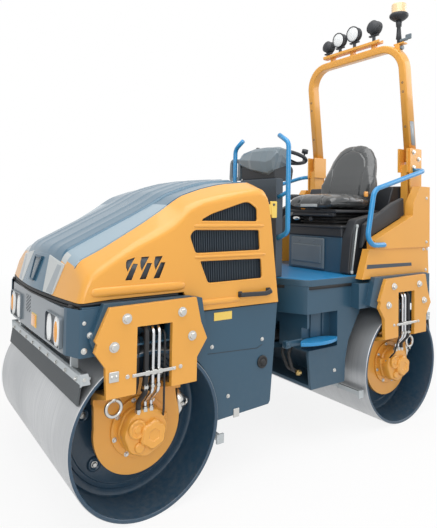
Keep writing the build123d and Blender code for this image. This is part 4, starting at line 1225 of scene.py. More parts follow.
recess = facingRing(rounded(frontSet["recess"], 0.022), 0.07, frontSet["face"] - 0.004,
                    frontSet["face"] + 0.012)
frontPiece("bumperRecess", bothSides(recess), ["bumperPaint", "grilleBlack"], bevel=0.0012)
lampX = frontSet["face"] + 0.004
whites = [ovalDome(*row, lampX + 0.002 * k, 0.01, 0.16) for k, row in enumerate(frontSet["white"])]
lamps = frontPiece("frontLampGlass", bothSides(*whites), "lampWhite")
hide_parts("front_lamps")
ambers = ovalDome(*frontSet["amber"], lampX + 0.008, 0.009)
frontPiece("frontTurnLamps", bothSides(ambers), "lampAmber")
dotY, dotZ = np.meshgrid(np.arange(5), np.arange(5), indexing="ij")
dotPlaces = np.stack([0 * dotY + frontSet["face"], frontSet["dotsAt"][0] + frontSet["dotPitch"] * dotY,
                      frontSet["dotsAt"][1] + frontSet["dotPitch"] * (dotZ - 0.5 * (dotY % 2))],
                     -1).reshape(-1, 3)
dots = [turned([(0.0062, -0.002), (0.0062, 0.0008), (0.005, 0.0012), (0, 0.0006)], spot, (1, 0, 0), 12)
        for spot in dotPlaces]
frontPiece("bumperVentDots", joined(dots), "grilleBlack")
y, z, wide, tall = frontSet["reflector"]
frontPiece("bumperReflector", roundBox((1.384, y - wide, z - tall), (1.391, y + wide, z + tall), 0.004),
           "lampAmber")
frontPiece("bumperReflectorFrame", roundBox((1.382, y - wide - 0.006, z - tall - 0.006),
                                            (1.387, y + wide + 0.006, z + tall + 0.006), 0.004),
           "plateYellow", "amber_lens")

# corner covers: a sheet bent round from the bumper's end on to the frame's side
coverSet = {"plan": [(1.386, 0.512), (1.382, 0.54), (1.348, 0.6235), (1.335, 0.6255), (1.262, 0.6255)],
            "low": 0.806, "high": 1.022}


def cornerCover(s):
    # the plan line and its copy 5 mm inside, carried from low to high
    plan = bentRoute(np.insert(np.asarray(s["plan"]), 2, 0.0, axis=1), 0.012, 4)[:, :2]
    inner = plan - np.stack([0 * plan[:, 0] + 0.002, 0 * plan[:, 0] + 0.005], -1)
    loop = np.concatenate([plan, inner[::-1]])
    return flatSlab(loop, s["low"], s["high"])


frontPiece("cornerCovers", bothSides(cornerCover(coverSet)), "slatePaint", bevel=0.0015)
coverBolts = [(1.33, 0.962, 0.007), (1.3, 0.905, 0.0125), (1.328, 0.838, 0.011)]     # x, z and size
coverBoltShapes = [boltShape([(x, 0.6255, z)], size) for x, z, size in coverBolts]
frontPiece("cornerCoverBolts", bothSides(*coverBoltShapes), "zincSteel", bevel=0.0007)
rests = [roundBox((1.29, 0.545, 1.02), (1.345, 0.6, 1.046), 0.006),
         roundBox((1.345, 0.52, 1.014), (1.372, 0.56, 1.034), 0.005)]
frontPiece("hoodRests", bothSides(*rests), "blackRubber")
print("front end")

# side panels below the hood: flush sheets whose arch follows the drum, over the frame's own panels
panelSet = {"face": 0.6, "inner": 0.584, "arch": 0.415, "top": 0.945, "low": 0.351, "front": 0.722}


def sidePanelShape(s):
    # outline in (x, z) whose front edge is the drum's arch: axis + arch * (cos a, sin a)
    start = math.asin((s["low"] - drumSet["z"]) / s["arch"])
    stop = math.acos((drumSet["x"] - s["front"]) / s["arch"])
    a = np.linspace(math.pi - start, math.pi - stop, 25)
    arc = np.stack([drumSet["x"] + s["arch"] * np.cos(a), drumSet["z"] + s["arch"] * np.sin(a)], -1)
    outline = np.concatenate([arc, [(s["front"], s["top"]), (0.15, s["top"]), (0.196, 0.385),
                                    (0.208, 0.366)]])
    return sideSlab(outline, s["inner"], s["face"])


panels = frontPiece("lowerSidePanels", bothSides(sidePanelShape(panelSet)), "slatePaint", bevel=0.0025)
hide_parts("front_side_panels")
capShape = turned([(0.0, 0), (0.036, 0), (0.036, 0.006), (0.032, 0.01), (0.026, 0.01), (0.024, 0.006),
                   (0.017, 0.006), (0.015, 0.016), (0.012, 0.018), (0.0, 0.018)],
                  (0.262, panelSet["face"], 0.617), (0, 1, 0), 36)
frontPiece("panelCaps", bothSides(capShape), "blackRubber")
panelBolts = boltShape([(0.613, 0.6, 0.75), (0.264, 0.6, 0.746), (0.501, 0.6, 0.469)], 0.0085)
frontPiece("panelBolts", bothSides(panelBolts), "zincSteel", bevel=0.0006)
frontPiece("panelTabs", bothSides(roundBox((0.424, 0.598, 0.344), (0.464, 0.606, 0.392), 0.004)),
           "zincSteel")
frontPiece("panelPlates", bothSides(roundBox((0.484, 0.599, 0.886), (0.604, 0.603, 0.93), 0.004)),
           "plateYellow")
seamLine = carried([(0.64, 0.6008, 0.716), (0.3, 0.6008, 0.7), (0.262, 0.6008, 0.716)], circle(0.0016, 8))
frontPiece("panelSeams", bothSides(seamLine), "grilleBlack", "chassis_paint")

# scrapers: an angle across the drum with a rubber blade hung from it, and posts up to the frame
scraperSet = {
    "half": 0.64,
    "angle": [(1.298, 0.722), (1.334, 0.7355), (1.3445, 0.729), (1.347, 0.684), (1.339, 0.684),
              (1.336, 0.722), (1.3, 0.71)],
    "blade": [(1.3385, 0.694), (1.3475, 0.694), (1.359, 0.604), (1.35, 0.6)],
    "post": [(1.302, 0.712), (1.338, 0.716), (1.338, 0.842), (1.302, 0.842)],
    "cheek": [(1.3, 0.69), (1.346, 0.69), (1.35, 0.742), (1.312, 0.742)],
    "postY": (0.47, 0.486), "cheekY": (0.636, 0.645),
    "screws": np.linspace(-0.58, 0.58, 9), "screw": 0.008, "endScrew": 0.007,
}
# a lower bar behind each drum with its tabs and arms, and an inner blade, as outlines in (x, z)
lowScrapers = {
    "front": {
        "bar": [(0.556, 0.25), (0.574, 0.246), (0.584, 0.264), (0.556, 0.282)],
        "tab": [(0.544, 0.24), (0.59, 0.24), (0.59, 0.29), (0.544, 0.29)],
        "arm": [(0.42, 0.362), (0.42, 0.404), (0.478, 0.392), (0.58, 0.276), (0.556, 0.252)],
        "blade": [(0.598, 0.462), (0.59, 0.456), (0.534, 0.489), (0.539, 0.498)], "bladeHalf": 0.575,
        "boxes": [((0.346, 0.468, 0.462), (0.545, 0.49, 0.486), 0.004)],
    },
    "rear": {
        "bar": [(-0.574, 0.262), (-0.59, 0.258), (-0.598, 0.276), (-0.574, 0.292)],
        "tab": [(-0.56, 0.25), (-0.604, 0.25), (-0.604, 0.3), (-0.56, 0.3)],
        "arm": [(-0.452, 0.352), (-0.452, 0.4), (-0.5, 0.392), (-0.596, 0.286), (-0.572, 0.262)],
        "blade": [(-0.588, 0.286), (-0.5955, 0.262), (-0.6, 0.258), (-0.5925, 0.29)], "bladeHalf": 0.61,
        "boxes": [],
    },
}


def scraperShapes(s, way):
    # outlines drawn for the front end, with x turned round for the rear
    angle, blade, post, cheek = ([(way * x, z) for x, z in s[key]]
                                 for key in ("angle", "blade", "post", "cheek"))
    half = s["half"]
    posts = bothSides(sideSlab(rounded(post, 0.004, 2), *s["postY"]))
    bars = joined([sideSlab(angle, -half, half), posts, bothSides(sideSlab(cheek, *s["cheekY"]))])
    across = [(way * 1.346, y, 0.707) for y in s["screws"]]
    ends = [(way * 1.33, y, 0.716) for y in (0.645, -0.645)]
    screws = joined([boltShape(across, s["screw"], axis=(way, 0, 0.04)), boltShape(ends, s["endScrew"])])
    return bars, sideSlab(blade, 0.004 - half, half - 0.004), screws


for end, x, way in machineEnds:
    bars, blade, screws = scraperShapes(scraperSet, way)
    low = lowScrapers[end]
    parts = [
        bars, sideSlab(low["bar"], -0.622, 0.622), bothSides(sideSlab(low["tab"], 0.618, 0.63)),
        bothSides(sideSlab(low["arm"], 0.42, 0.436)), *(bothSides(roundBox(*row)) for row in low["boxes"])]
    ob = addPiece(end + "_frame", end + "ScraperBars", joined(parts), "wornZinc", bevel=0.0012)
    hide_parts(end + "_scrapers")
    blades = joined([blade, sideSlab(low["blade"], -low["bladeHalf"], low["bladeHalf"])])
    addPiece(end + "_frame", end + "ScraperBlades", blades, "greyRubber", bevel=0.001)
    addPiece(end + "_frame", end + "ScraperBolts", screws, "zincSteel", bevel=0.0006)
print("panels and scrapers")

# deck: slate tray with a blue top sheet, a black strip under its edge that is painted shade for the gap
# there, and raised grip dots
deckSet = {
    "plan": [(-0.7, -0.56), (-0.172, -0.56), (-0.143, -0.538), (-0.118, -0.495), (-0.045, -0.35),
             (-0.045, 0.35), (-0.118, 0.495), (-0.143, 0.538), (-0.172, 0.56), (-0.7, 0.56)],
    "low": 1.005, "top": 1.046, "sheet": 1.05, "inset": 0.012, "dotPitch": 0.026, "dot": 0.0055,
}


def shrunk(outline, inset):
    # each corner moves in along the sum of its two sides' inward normals, divided by one plus their cosine
    outline = np.asarray(outline, float)
    ahead = np.roll(outline, -1, 0) - outline
    ahead /= np.linalg.norm(ahead, axis=1)[:, None]
    area = np.sum(outline[:, 0] * np.roll(outline[:, 1], -1) - np.roll(outline[:, 0], -1) * outline[:, 1])
    normal = np.stack([-ahead[:, 1], ahead[:, 0]], -1) * np.sign(area)
    before = np.roll(normal, 1, 0)
    return outline + inset * (normal + before) / (1 + np.sum(normal * before, 1))[:, None]


def gripDots(spots, radius, rise=0.0012):
    # six-sided domes: radius * (1, 0.6, 0) at heights (0, 0.8, 1) * rise, one copy for each spot
    a = fullTurn(6)
    one = np.concatenate([np.stack([radius * k * np.cos(a), radius * k * np.sin(a), 0 * a + rise * h], -1)
                          for k, h in ((1, -0.5), (0.6, 0.8))])
    faces = meshGrid(2, 6, wrapCols=True) + [list(range(6, 12))]
    copies = [[12 * k + v for v in face] for k in range(len(spots)) for face in faces]
    return plain(np.asarray(spots)[:, None] + one, copies)


tray = flatSlab(deckSet["plan"], deckSet["low"], deckSet["top"])
# painted shade: a black strip under the deck's edge stands for the shadowed gap between deck and body
deckGapShade = flatSlab(shrunk(deckSet["plan"], 0.002), deckSet["low"] - 0.02, deckSet["low"])
sheetPlan = shrunk(deckSet["plan"], deckSet["inset"])
sheet = flatSlab(sheetPlan, deckSet["top"] - 0.001, deckSet["sheet"])
deckOb = rearPiece("deckTray", tray, "slatePaint", bevel=0.003)
rearPiece("deckSheet", sheet, "bluePaint", bevel=0.0012)
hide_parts("operator_deck")
# the black strip is painted shade for the gap under the deck
rearPiece("deckEdgeLine", deckGapShade, "blackRubber")
gx, gy = np.meshgrid(np.arange(-0.56, -0.06, deckSet["dotPitch"]),
                     np.arange(-0.546, 0.546, deckSet["dotPitch"]), indexing="ij")
gy = gy + deckSet["dotPitch"] / 2 * (np.arange(len(gx)) % 2)[:, None]
spots = np.stack([gx, gy], -1).reshape(-1, 2)
spots = spots[inLoops(spots, [shrunk(sheetPlan, 0.012)])]
rearPiece("deckGrips", gripDots(np.insert(spots, 2, deckSet["sheet"], axis=1), deckSet["dot"]), "bluePaint")

# side steps: a lens-shaped tread in each niche, a panel behind it and the niche's fittings
stepSet = {"middle": -0.262, "half": 0.165, "waist": 0.55, "reach": 0.052, "depth": 0.068, "low": 0.64,
           "high": 0.662}


def treadPlan(s, inset=0.0):
    # a lens, t from -1 to 1: y = waist + reach * (1 - t^2)^0.7 outside, waist - depth * (1 - t^2)^0.7 inside
    t = np.cos(np.linspace(0, np.pi, 31))
    bow = (1 - t ** 2).clip(0) ** 0.7
    outer = np.stack([s["middle"] + (s["half"] - inset) * t, s["waist"] + (s["reach"] - inset) * bow], -1)
    inner = np.stack([s["middle"] + (s["half"] - inset) * t, s["waist"] - (s["depth"] - inset) * bow], -1)
    return np.concatenate([outer, inner[-2:0:-1]])


tread = flatSlab(treadPlan(stepSet), stepSet["low"], stepSet["high"])
steps = rearPiece("stepTreads", bothSides(tread), "bluePaint", bevel=0.003)
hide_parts("access_steps")
tx, ty = np.meshgrid(np.arange(-0.415, -0.105, 0.02), np.arange(0.49, 0.6, 0.017), indexing="ij")
spots = np.stack([tx, ty + 0.0085 * (np.arange(len(tx)) % 2)[:, None]], -1).reshape(-1, 2)
spots = spots[inLoops(spots, [treadPlan(stepSet, 0.008)])]
rearPiece("stepGrips", bothSides(gripDots(np.insert(spots, 2, stepSet["high"], axis=1), 0.0045)), "bluePaint")
nichePanel = roundBox((-0.33, 0.478, 0.664), (-0.238, 0.494, 0.826), 0.004)
nicheRib = roundBox((-0.372, 0.478, 0.664), (-0.352, 0.488, 0.826), 0.003)
rearPiece("nichePanels", bothSides(nichePanel, nicheRib), "slatePaint")
rearPiece("bodyBolts", bothSides(boltShape([(-0.404, 0.55, 0.443)], 0.0095)), "zincSteel", bevel=0.0007)
cavity = [tubeShape([(-0.16, 0.34 + 0.06 * k, 0.6), (-0.105, 0.37 + 0.06 * k, 0.56),
                     (-0.112, 0.42 + 0.04 * k, 0.475), (-0.17, 0.45 + 0.03 * k, 0.44)], 0.03, 0.011, 12, 6)
          for k in range(2)]
rearPiece("jointHoses", bothSides(*cavity), "blackRubber")
brass = [nutShape((-0.165 + 0.03 * k, 0.462 + 0.03 * k, 0.44 + 0.02 * k), 0.016, 0.018, (1, -0.3, 0.2))
         for k in range(2)]
rearPiece("jointFittings", bothSides(*brass), "brass", bevel=0.0008)
blockArm = roundBox((-0.16, 0.488, 0.63), (-0.04, 0.502, 0.67), 0.004)
block = roundBox((-0.045, 0.478, 0.628), (-0.005, 0.516, 0.672), 0.005)
rearPiece("jointBlocks", bothSides(blockArm, block, boltShape([(-0.025, 0.516, 0.65)], 0.01)), "slatePaint")
print("deck and steps")

# operator's dash: sections across the machine, each closed round the same eleven places
dashSet = {
    "y": [-0.062, -0.052, -0.02, 0.075, 0.11, 0.215, 0.262, 0.318, 0.34, 0.352],
    "low": [1.822, 1.808, 1.796, 1.765, 1.757, 1.736, 1.726, 1.75, 1.8, 1.846],
    "top": [1.872, 1.888, 1.902, 1.917, 1.921, 1.921, 1.917, 1.914, 1.91, 1.9],
    "bulge": [-0.022, -0.006, 0.0, 0.004, 0.012, 0.012, 0.002, 0.0, -0.006, -0.02],
}


def dashShape(s):
    # closed sections (x, z): front edge at the low line, face, brow, top, then the slope of dials facing back
    y, low, top, out = (np.array(s[k]) for k in ("y", "low", "top", "bulge"))
    tall = top - low
    rows = [(-0.098, low + 0.012), (-0.06 + out * 0.4, low), (-0.046 + out, low + 0.012),
            (-0.032 + out, low + 0.45 * tall), (-0.052 + out, top - 0.03), (-0.066 + out * 0.6, top - 0.008),
            (-0.092, top), (-0.146, top - 0.01), (-0.164, top - 0.03), (-0.176, 1.836),
            (-0.172, np.minimum(1.79, low + 0.06))]
    return capped(np.stack([np.stack([x + 0 * y, y, z + 0 * y], -1) for x, z in rows], 1))


dash = rearPiece("dashHood", dashShape(dashSet), "dashGrey", smooth=False)
finishEdges(dash, 0.0025, angle=9)
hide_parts("dashboard")
lowerDash = sideSlab(rounded([(-0.062, 1.69), (-0.056, 1.8), (-0.165, 1.83), (-0.232, 1.772), (-0.218, 1.69)],
                             0.02), -0.03, 0.322)
cluster = slab(rounded([(0.02, -0.044), (0.3, -0.044), (0.3, 0.04), (0.02, 0.04)], 0.012), (-0.203, 0, 1.809),
               (-0.197, 0, 1.817), (0, 1, 0), (-0.6, 0, 0.8))
dashNub = turned([(0.016, -0.004), (0.015, 0.008), (0.009, 0.013), (0, 0.014)], (-0.11, 0.086, 1.917),
                 (0, 0, 1), 24)
rearPiece("dashLower", joined([lowerDash, dashNub]), "blackPlastic", bevel=0.003)
rearPiece("dashCluster", cluster, "grilleBlack", bevel=0.001)
dials = [turned([(0.026, 0), (0.026, 0.004), (0.022, 0.005), (0.021, 0.002), (0, 0.002)],
                (-0.2005, y, 1.8135), (-0.8, 0, 0.6), 28) for y in (0.09, 0.155, 0.22)]
rearPiece("dashDials", joined(dials), "paleTrim")
loopOut = rounded([(-0.192, 1.7), (-0.066, 1.7), (-0.062, 1.838), (-0.088, 1.86), (-0.158, 1.862),
                   (-0.184, 1.842)], 0.03)
loopIn = shrunk(loopOut, 0.026)
loopRows = ((loopOut, -0.092), (loopOut, -0.066), (loopIn, -0.066), (loopIn, -0.092))
loopGrid = np.stack([np.insert(loop, 0, x, axis=1) for loop, x in loopRows])
rearPiece("dashLoop", plain(loopGrid, meshGrid(4, len(loopOut), True, True)), "dashGrey", bevel=0.004)

# seat: base tray, bellows, levers; cushion and back are swollen by cloth further down
traySkin = roundBox((-0.985, -0.105, 1.302), (-0.592, 0.438, 1.378), 0.014)
trayLip = roundBox((-0.995, -0.115, 1.368), (-0.582, 0.448, 1.386), 0.006)
documentBox = roundBox((-0.604, -0.062, 1.064), (-0.584, 0.274, 1.29), 0.03)
documentLid = roundBox((-0.59, -0.04, 1.104), (-0.576, 0.252, 1.236), 0.014)
lidDots = joined([turned([(0.007, 0), (0.007, 0.003), (0, 0.004)], (-0.584, y, 1.264), (1, 0, 0), 12)
                  for y in (0.03, 0.18)])
farBox = sideSlab(rounded([(-0.59, 1.306), (-0.602, 1.44), (-0.66, 1.472), (-0.985, 1.5), (-0.985, 1.306)],
                          0.02), -0.186, -0.104)
rearPiece("seatFarBox", farBox, "blackPlastic", bevel=0.006)
rearPiece("seatTray", joined([traySkin, trayLip]), "blackPlastic", bevel=0.002)
rearPiece("documentBox", joined([documentBox, documentLid, lidDots]), "documentGrey", bevel=0.002)
bellowsSet = {"centre": (-0.785, 0.165), "half": (0.165, 0.185), "low": 1.384, "high": 1.482, "folds": 4,
              "deep": 0.013}


def bellowsShape(s):
    # superellipse rings, exponent 0.35, whose half sizes swing in and out with height
    u = np.linspace(0, 1, s["folds"] * 6 + 1)
    swing = s["deep"] * np.cos(2 * np.pi * s["folds"] * u)
    a = fullTurn(72)
    c, d = (np.sign(f) * np.abs(f) ** 0.35 for f in (np.cos(a), np.sin(a)))
    x = s["centre"][0] + (s["half"][0] + swing)[:, None] * c
    y = s["centre"][1] + (s["half"][1] + swing)[:, None] * d
    z = (s["low"] + (s["high"] - s["low"]) * u)[:, None] + 0 * x
    return capped(np.stack([x, y, z], -1))


bellows = rearPiece("seatBellows", bellowsShape(bellowsSet), "blackRubber")
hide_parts("seat_suspension")
seatPlate = roundBox((-1.06, -0.075, 1.478), (-0.57, 0.405, 1.5), 0.008)
railFront = roundBox((-0.612, -0.045, 1.45), (-0.575, 0.375, 1.482), 0.01)
armFar = roundBox((-0.96, -0.162, 1.575), (-0.64, -0.098, 1.621), 0.02)
armPost = roundBox((-0.96, -0.145, 1.48), (-0.9, -0.11, 1.58), 0.01)
rearPiece("seatRails", joined([seatPlate, railFront, armFar, armPost]), "blackPlastic", bevel=0.002)
knobOval = ovalDome(0.01, 1.432, 0.036, 0.016, -0.572, 0.02)
knobRound = turned([(0.016, 0), (0.018, 0.006), (0.018, 0.018), (0.014, 0.024), (0, 0.025)],
                   (-0.596, 0.15, 1.43), (1, 0, 0), 20)
leverRod = tubeShape([(-0.6, -0.02, 1.462), (-0.566, -0.02, 1.462), (-0.566, 0.33, 1.462),
                      (-0.6, 0.33, 1.462)], 0.012, 0.004)
rearPiece("seatLever", leverRod, "castIron")
rearPiece("seatKnobs", knobOval, "zincSteel")
rearPiece("seatDampKnob", knobRound, "blackPlastic", bevel=0.001)
barePlate = roundBox((-0.531, 0.092, 1.52), (-0.526, 0.262, 1.54), 0.002)
buckle = roundBox((-0.896, 0.41, 1.6), (-0.862, 0.428, 1.64), 0.006)
rearPiece("seatPlate", barePlate, "paleTrim")
rearPiece("seatBuckle", buckle, "lampAmber", "black_plastic")

# front handrails: a tube up from the deck, bent inward at its head, with a short leg to the dash
railSet = {"x": -0.065, "radius": 0.016, "near": (0.45, 0.343, 0.36), "far": (-0.12, -0.013, -0.031)}


def frontRail(s, y, foot, head):
    # foot leg, upright, bent head, then the side leg a little lower
    route = [(s["x"], foot, 1.3), (s["x"], y, 1.346), (s["x"], y, 1.93), (s["x"], head, 1.985)]
    leg = [(s["x"], y, 1.61), (s["x"], head, 1.575)]
    return joined([tubeShape(route, [0.045, 0.06], s["radius"], 18), tubeShape(leg, [], s["radius"] * 0.8)])


rails = rearPiece("frontRailTubes", joined([frontRail(railSet, *railSet[key]) for key in ("near", "far")]),
                  "bluePaint")
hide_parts("front_handrails")

# rear handrails: foot on the rear panel, forward and up, then back along to the post
rearRailSet = {
    "radius": 0.0175, "foot": 1.262, "y": 0.648,
    "route": [(-0.8, -0.033, 0), (-0.8, 0, 0), (-0.596, 0, 0), (-0.676, 0, 0.378), (-1.262, 0, 0.543),
              (-1.3, -0.125, 0.553)],
    "bends": (0.022, 0.08, 0.085, 0.06),
}
rearRoute = np.array(rearRailSet["route"]) + (0, rearRailSet["y"], rearRailSet["foot"])
rearTube = tubeShape(rearRoute, rearRailSet["bends"], rearRailSet["radius"], 20)
rearRails = rearPiece("rearRailTubes", bothSides(rearTube), "bluePaint")
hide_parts("rear_handrails")

# side console: closed sheet shape with a slot and the pale hand lever's rod in it
consoleOutline = rounded([(-0.572, 1.052), (-0.602, 1.322), (-0.658, 1.432), (-0.79, 1.456), (-0.99, 1.49),
                          (-1.0, 1.06)], 0.02)
console = rearPiece("sideConsole", sideSlab(consoleOutline, 0.437, 0.515), "blackPlastic", bevel=0.007)
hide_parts("side_console")
slotInlay = sideSlab(rounded([(-0.585, 1.062), (-0.618, 1.062), (-0.676, 1.385), (-0.664, 1.405),
                              (-0.634, 1.395)], 0.012), 0.512, 0.517)
rearPiece("consoleSlot", slotInlay, "greyRubber", bevel=0.001)
rod = tubeShape([(-0.602, 0.524, 1.066), (-0.655, 0.524, 1.388)], [], 0.0058)
rodEnds = [turned([(0.009, -0.01), (0.01, 0), (0.009, 0.01), (0, 0.012)], (x, 0.524, z), (0, 0, 1), 16)
           for x, z in ((-0.602, 1.07), (-0.655, 1.388))]
rearPiece("consoleRod", joined([rod, *rodEnds]), "paleTrim", "plated_steel")
print("operator station")

# rear panels' stripe and bolts
stripe = sideSlab([(-0.64, 1.1), (-0.646, 1.128), (-1.148, 1.122), (-1.154, 1.098)], 0.617, 0.6195)
rearPiece("panelStripes", bothSides(stripe), "slatBlue", "chassis_paint", bevel=0.0008)
panelScrews = [(-1.3, 0.618, 1.215), (-1.345, 0.618, 1.215), (-1.33, 0.618, 1.06)]
upperScrews = [(-0.77, 0.63, 1.262), (-1.32, 0.63, 1.27), (-1.32, 0.63, 1.6)]
rearPiece("rearPanelBolts", bothSides(boltShape(panelScrews + upperScrews, 0.0085)), "zincSteel",
          bevel=0.0006)

# rear tank: pressed ribs on its back and a filler cap on its top
tankSet = {"back": -1.37, "half": 0.372, "ribs": (1.19, 1.31, 1.43, 1.55), "cap": (-1.275, -0.21, 1.698)}
tankRibs = [roundBox((tankSet["back"] - 0.009, -tankSet["half"], z - 0.021),
                     (tankSet["back"] + 0.004, tankSet["half"], z + 0.021), 0.008) for z in tankSet["ribs"]]
fillerCap = turned([(0.062, -0.012), (0.062, 0.006), (0.052, 0.01), (0.05, 0.03), (0.044, 0.036),
                    (0.018, 0.037), (0.016, 0.046), (0, 0.047)], tankSet["cap"], (0.04, 0, 1), 40)
rearPiece("tankRibs", joined(tankRibs), "blackPlastic")
rearPiece("tankCap", fillerCap, "blackRubber")
tankClips = [roundBox((tankSet["back"] - 0.006, y - 0.016, 1.628), (tankSet["back"] + 0.012, y + 0.016, 1.69),
                      0.004) for y in (-0.3, 0.3)]
rearPiece("tankClips", joined(tankClips), "zincSteel")

# roll bar: a square tube leaning forward over brackets, its cross bolts, holes and plate, lamps and beacon
ropsSet = {
    "bracket": [(-1.285, 1.838), (-1.35, 1.905), (-1.285, 1.955)], "bracketSize": 0.0135, "side": 0.542,
    "y": 0.485, "foot": (-1.335, 1.89), "head": (-1.228, 2.798), "bend": 0.19, "deep": 0.043, "wide": 0.03,
    "holes": [2.43, 2.5, 2.16], "plate": (2.015, 2.2),
    # lamps as (y, height, radius, way it faces)
    "lamps": [(-0.254, 2.962, 0.055, -1), (-0.118, 2.988, 0.063, 1), (0.038, 2.996, 0.066, 1),
              (0.236, 2.996, 0.062, -1)],
    "lampX": -1.195,
}


def hoopX(z):
    # the bar's lean: straight from foot to head
    (x0, z0), (x1, z1) = ropsSet["foot"], ropsSet["head"]
    return x0 + (x1 - x0) * (z - z0) / (z1 - z0)


def hoopShape(s):
    # the square tube's section carried up one leg, over and down the other in the plane that leans forward
    lean = np.array([s["head"][1] - s["foot"][1], 0, s["foot"][0] - s["head"][0]])
    lean /= np.linalg.norm(lean)
    corners = [(s["foot"][0], s["y"], s["foot"][1]), (s["head"][0], s["y"], s["head"][1]),
               (s["head"][0], -s["y"], s["head"][1]), (s["foot"][0], -s["y"], s["foot"][1])]
    section = rectangle(s["wide"], s["deep"], 0.012)
    return carried(bentRoute(corners, s["bend"], 14), section, up=lean)


hoopOb = barPiece("ropsTube", hoopShape(ropsSet), "yellowPaint")
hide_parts("rops_hoop")
postCover = sideSlab(rounded([(-1.258, 1.64), (-1.244, 1.7), (-1.244, 1.985), (-1.392, 1.985), (-1.392, 1.6),
                              (-1.3, 1.6)], 0.008), 0.5298, 0.542)
postWeb = sideSlab(rounded([(-1.392, 1.6), (-1.392, 1.845), (-1.38, 1.845), (-1.38, 1.6)], 0.003, 2),
                   0.47, 0.534)
rearPiece("postCovers", bothSides(postCover, postWeb), "yellowPaint", bevel=0.0015)
bracketBolts = boltShape([(x, ropsSet["side"], z) for x, z in ropsSet["bracket"]], ropsSet["bracketSize"])
rearPiece("postBolts", bothSides(bracketBolts), "zincSteel", bevel=0.0008)
holeRings = [turned([(0.0095, 0), (0.0085, 0.002), (0.006, 0.002), (0.005, 0.0005), (0, 0.0005)],
                    (hoopX(z) + ropsSet["deep"] - 0.0005, ropsSet["y"], z), (1, 0, 0), 16)
             for z in ropsSet["holes"]]
barPiece("hoopPlugs", bothSides(*holeRings), "castIron", "body_paint")
z0, z1 = ropsSet["plate"]
hoopPlate = sideSlab([(hoopX(z0) - 0.022, z0), (hoopX(z0) + 0.022, z0), (hoopX(z1) + 0.022, z1),
                      (hoopX(z1) - 0.022, z1)], 0.514, 0.519)
barPiece("hoopPlates", hoopPlate, "greyTrim", "plated_steel")


def workLamp(y, z, radius, way, x0):
    # revolved housing with cooling ribs behind a rim, and a domed glass set in the rim
    r = radius
    back = [(0, -0.04), (r * 0.55, -0.038), (r * 0.72, -0.03)]
    ribs = [(r * k, h) for h in np.linspace(-0.026, 0.004, 6) for k in (0.74, 0.9, 0.9, 0.74)]
    ribs = [(k, h + 0.0016 * (n % 4)) for n, (k, h) in enumerate(ribs)]
    rim = [(r * 0.94, 0.012), (r, 0.018), (r, 0.03), (r * 0.93, 0.034), (r * 0.88, 0.026)]
    glass = [(r * 0.9, 0.026), (r * 0.88, 0.029), (r * 0.7, 0.033), (r * 0.4, 0.036), (0, 0.037)]
    origin, axis = (x0, y, z), (way, 0, -0.12)
    shell = turned(back + ribs + rim, origin, axis, 36)
    stand = roundBox((x0 - 0.012, y - 0.01, 2.866), (x0 + 0.012, y + 0.01, z - r * 0.65), 0.004)
    fork = roundBox((x0 - 0.014, y - r * 0.7, z - r - 0.01), (x0 + 0.014, y + r * 0.7, z - r + 0.002), 0.004)
    return joined([shell, stand, fork]), turned(glass, origin, axis, 36)


lampShells, lampGlass = zip(*[workLamp(*row, ropsSet["lampX"]) for row in ropsSet["lamps"]])
lampOb = barPiece("workLampShells", joined(lampShells), "blackPlastic")
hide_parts("work_lamps")
barPiece("workLampGlass", joined(lampGlass), "lampWhite")
lightBar = sideSlab([(-1.232, 2.856), (-1.18, 2.856), (-1.176, 2.862), (-1.176, 2.882), (-1.184, 2.882),
                     (-1.184, 2.87), (-1.222, 2.87), (-1.222, 2.882), (-1.232, 2.882)], -0.3, 0.3)
barFeet = [roundBox((-1.242, y - 0.018, 2.815), (-1.202, y + 0.018, 2.872), 0.004)
           for y in (-0.22, 0.0, 0.22)]
barBolts = boltShape([(-1.203, y, 2.87) for y in (-0.2, -0.04, 0.12, 0.19)], 0.009, axis=(0, 0, 1))
barPiece("lightBar", joined([lightBar, *barFeet]), "yellowPaint", bevel=0.0012)
barPiece("lightBarBolts", barBolts, "zincSteel")
beaconPlace = (-1.236, 0.44, 0)
beaconSkin = turned([(0, 2.998), (0.022, 2.999), (0.044, 3.006), (0.066, 3.024), (0.072, 3.034),
                     (0.072, 3.046), (0.066, 3.054), (0.058, 3.057)], beaconPlace, (0, 0, 1), 48)
beaconPole = turned([(0.014, 2.745), (0.014, 2.85), (0.022, 2.856), (0.018, 2.9), (0.015, 2.95),
                     (0.021, 2.955), (0.024, 3.0), (0.012, 3.003)], beaconPlace, (0, 0, 1), 24)
beaconGlass = turned([(0.06, 3.055), (0.06, 3.064), (0.057, 3.067), (0.057, 3.118), (0.054, 3.13),
                      (0.042, 3.136), (0, 3.137)], beaconPlace, (0, 0, 1), 48)
beaconOb = barPiece("beaconBase", joined([beaconSkin, beaconPole]), "blackPlastic")
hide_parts("beacon")
barPiece("beaconGlass", beaconGlass, "beaconCream", bevel=0.001)
beaconArm = [roundBox((-1.262, 0.418, 2.748), (-1.21, 0.462, 2.812), 0.006),
             roundBox((-1.262, 0.41, 2.804), (-1.21, 0.5, 2.816), 0.003)]
barPiece("beaconArm", joined(beaconArm), "yellowPaint", bevel=0.001)
beaconLever = [roundBox((-1.246, 0.45, 2.826), (-1.226, 0.52, 2.848), 0.007),
               roundBox((-1.242, 0.5, 2.83), (-1.23, 0.552, 2.872), 0.006),
               turned([(0.018, -0.008), (0.018, 0.008), (0, 0.009)], (-1.236, 0.47, 2.78), (0, 1, 0), 20)]
barPiece("beaconLever", joined(beaconLever), "documentGrey", "plated_steel", bevel=0.001)
print("roll bar")

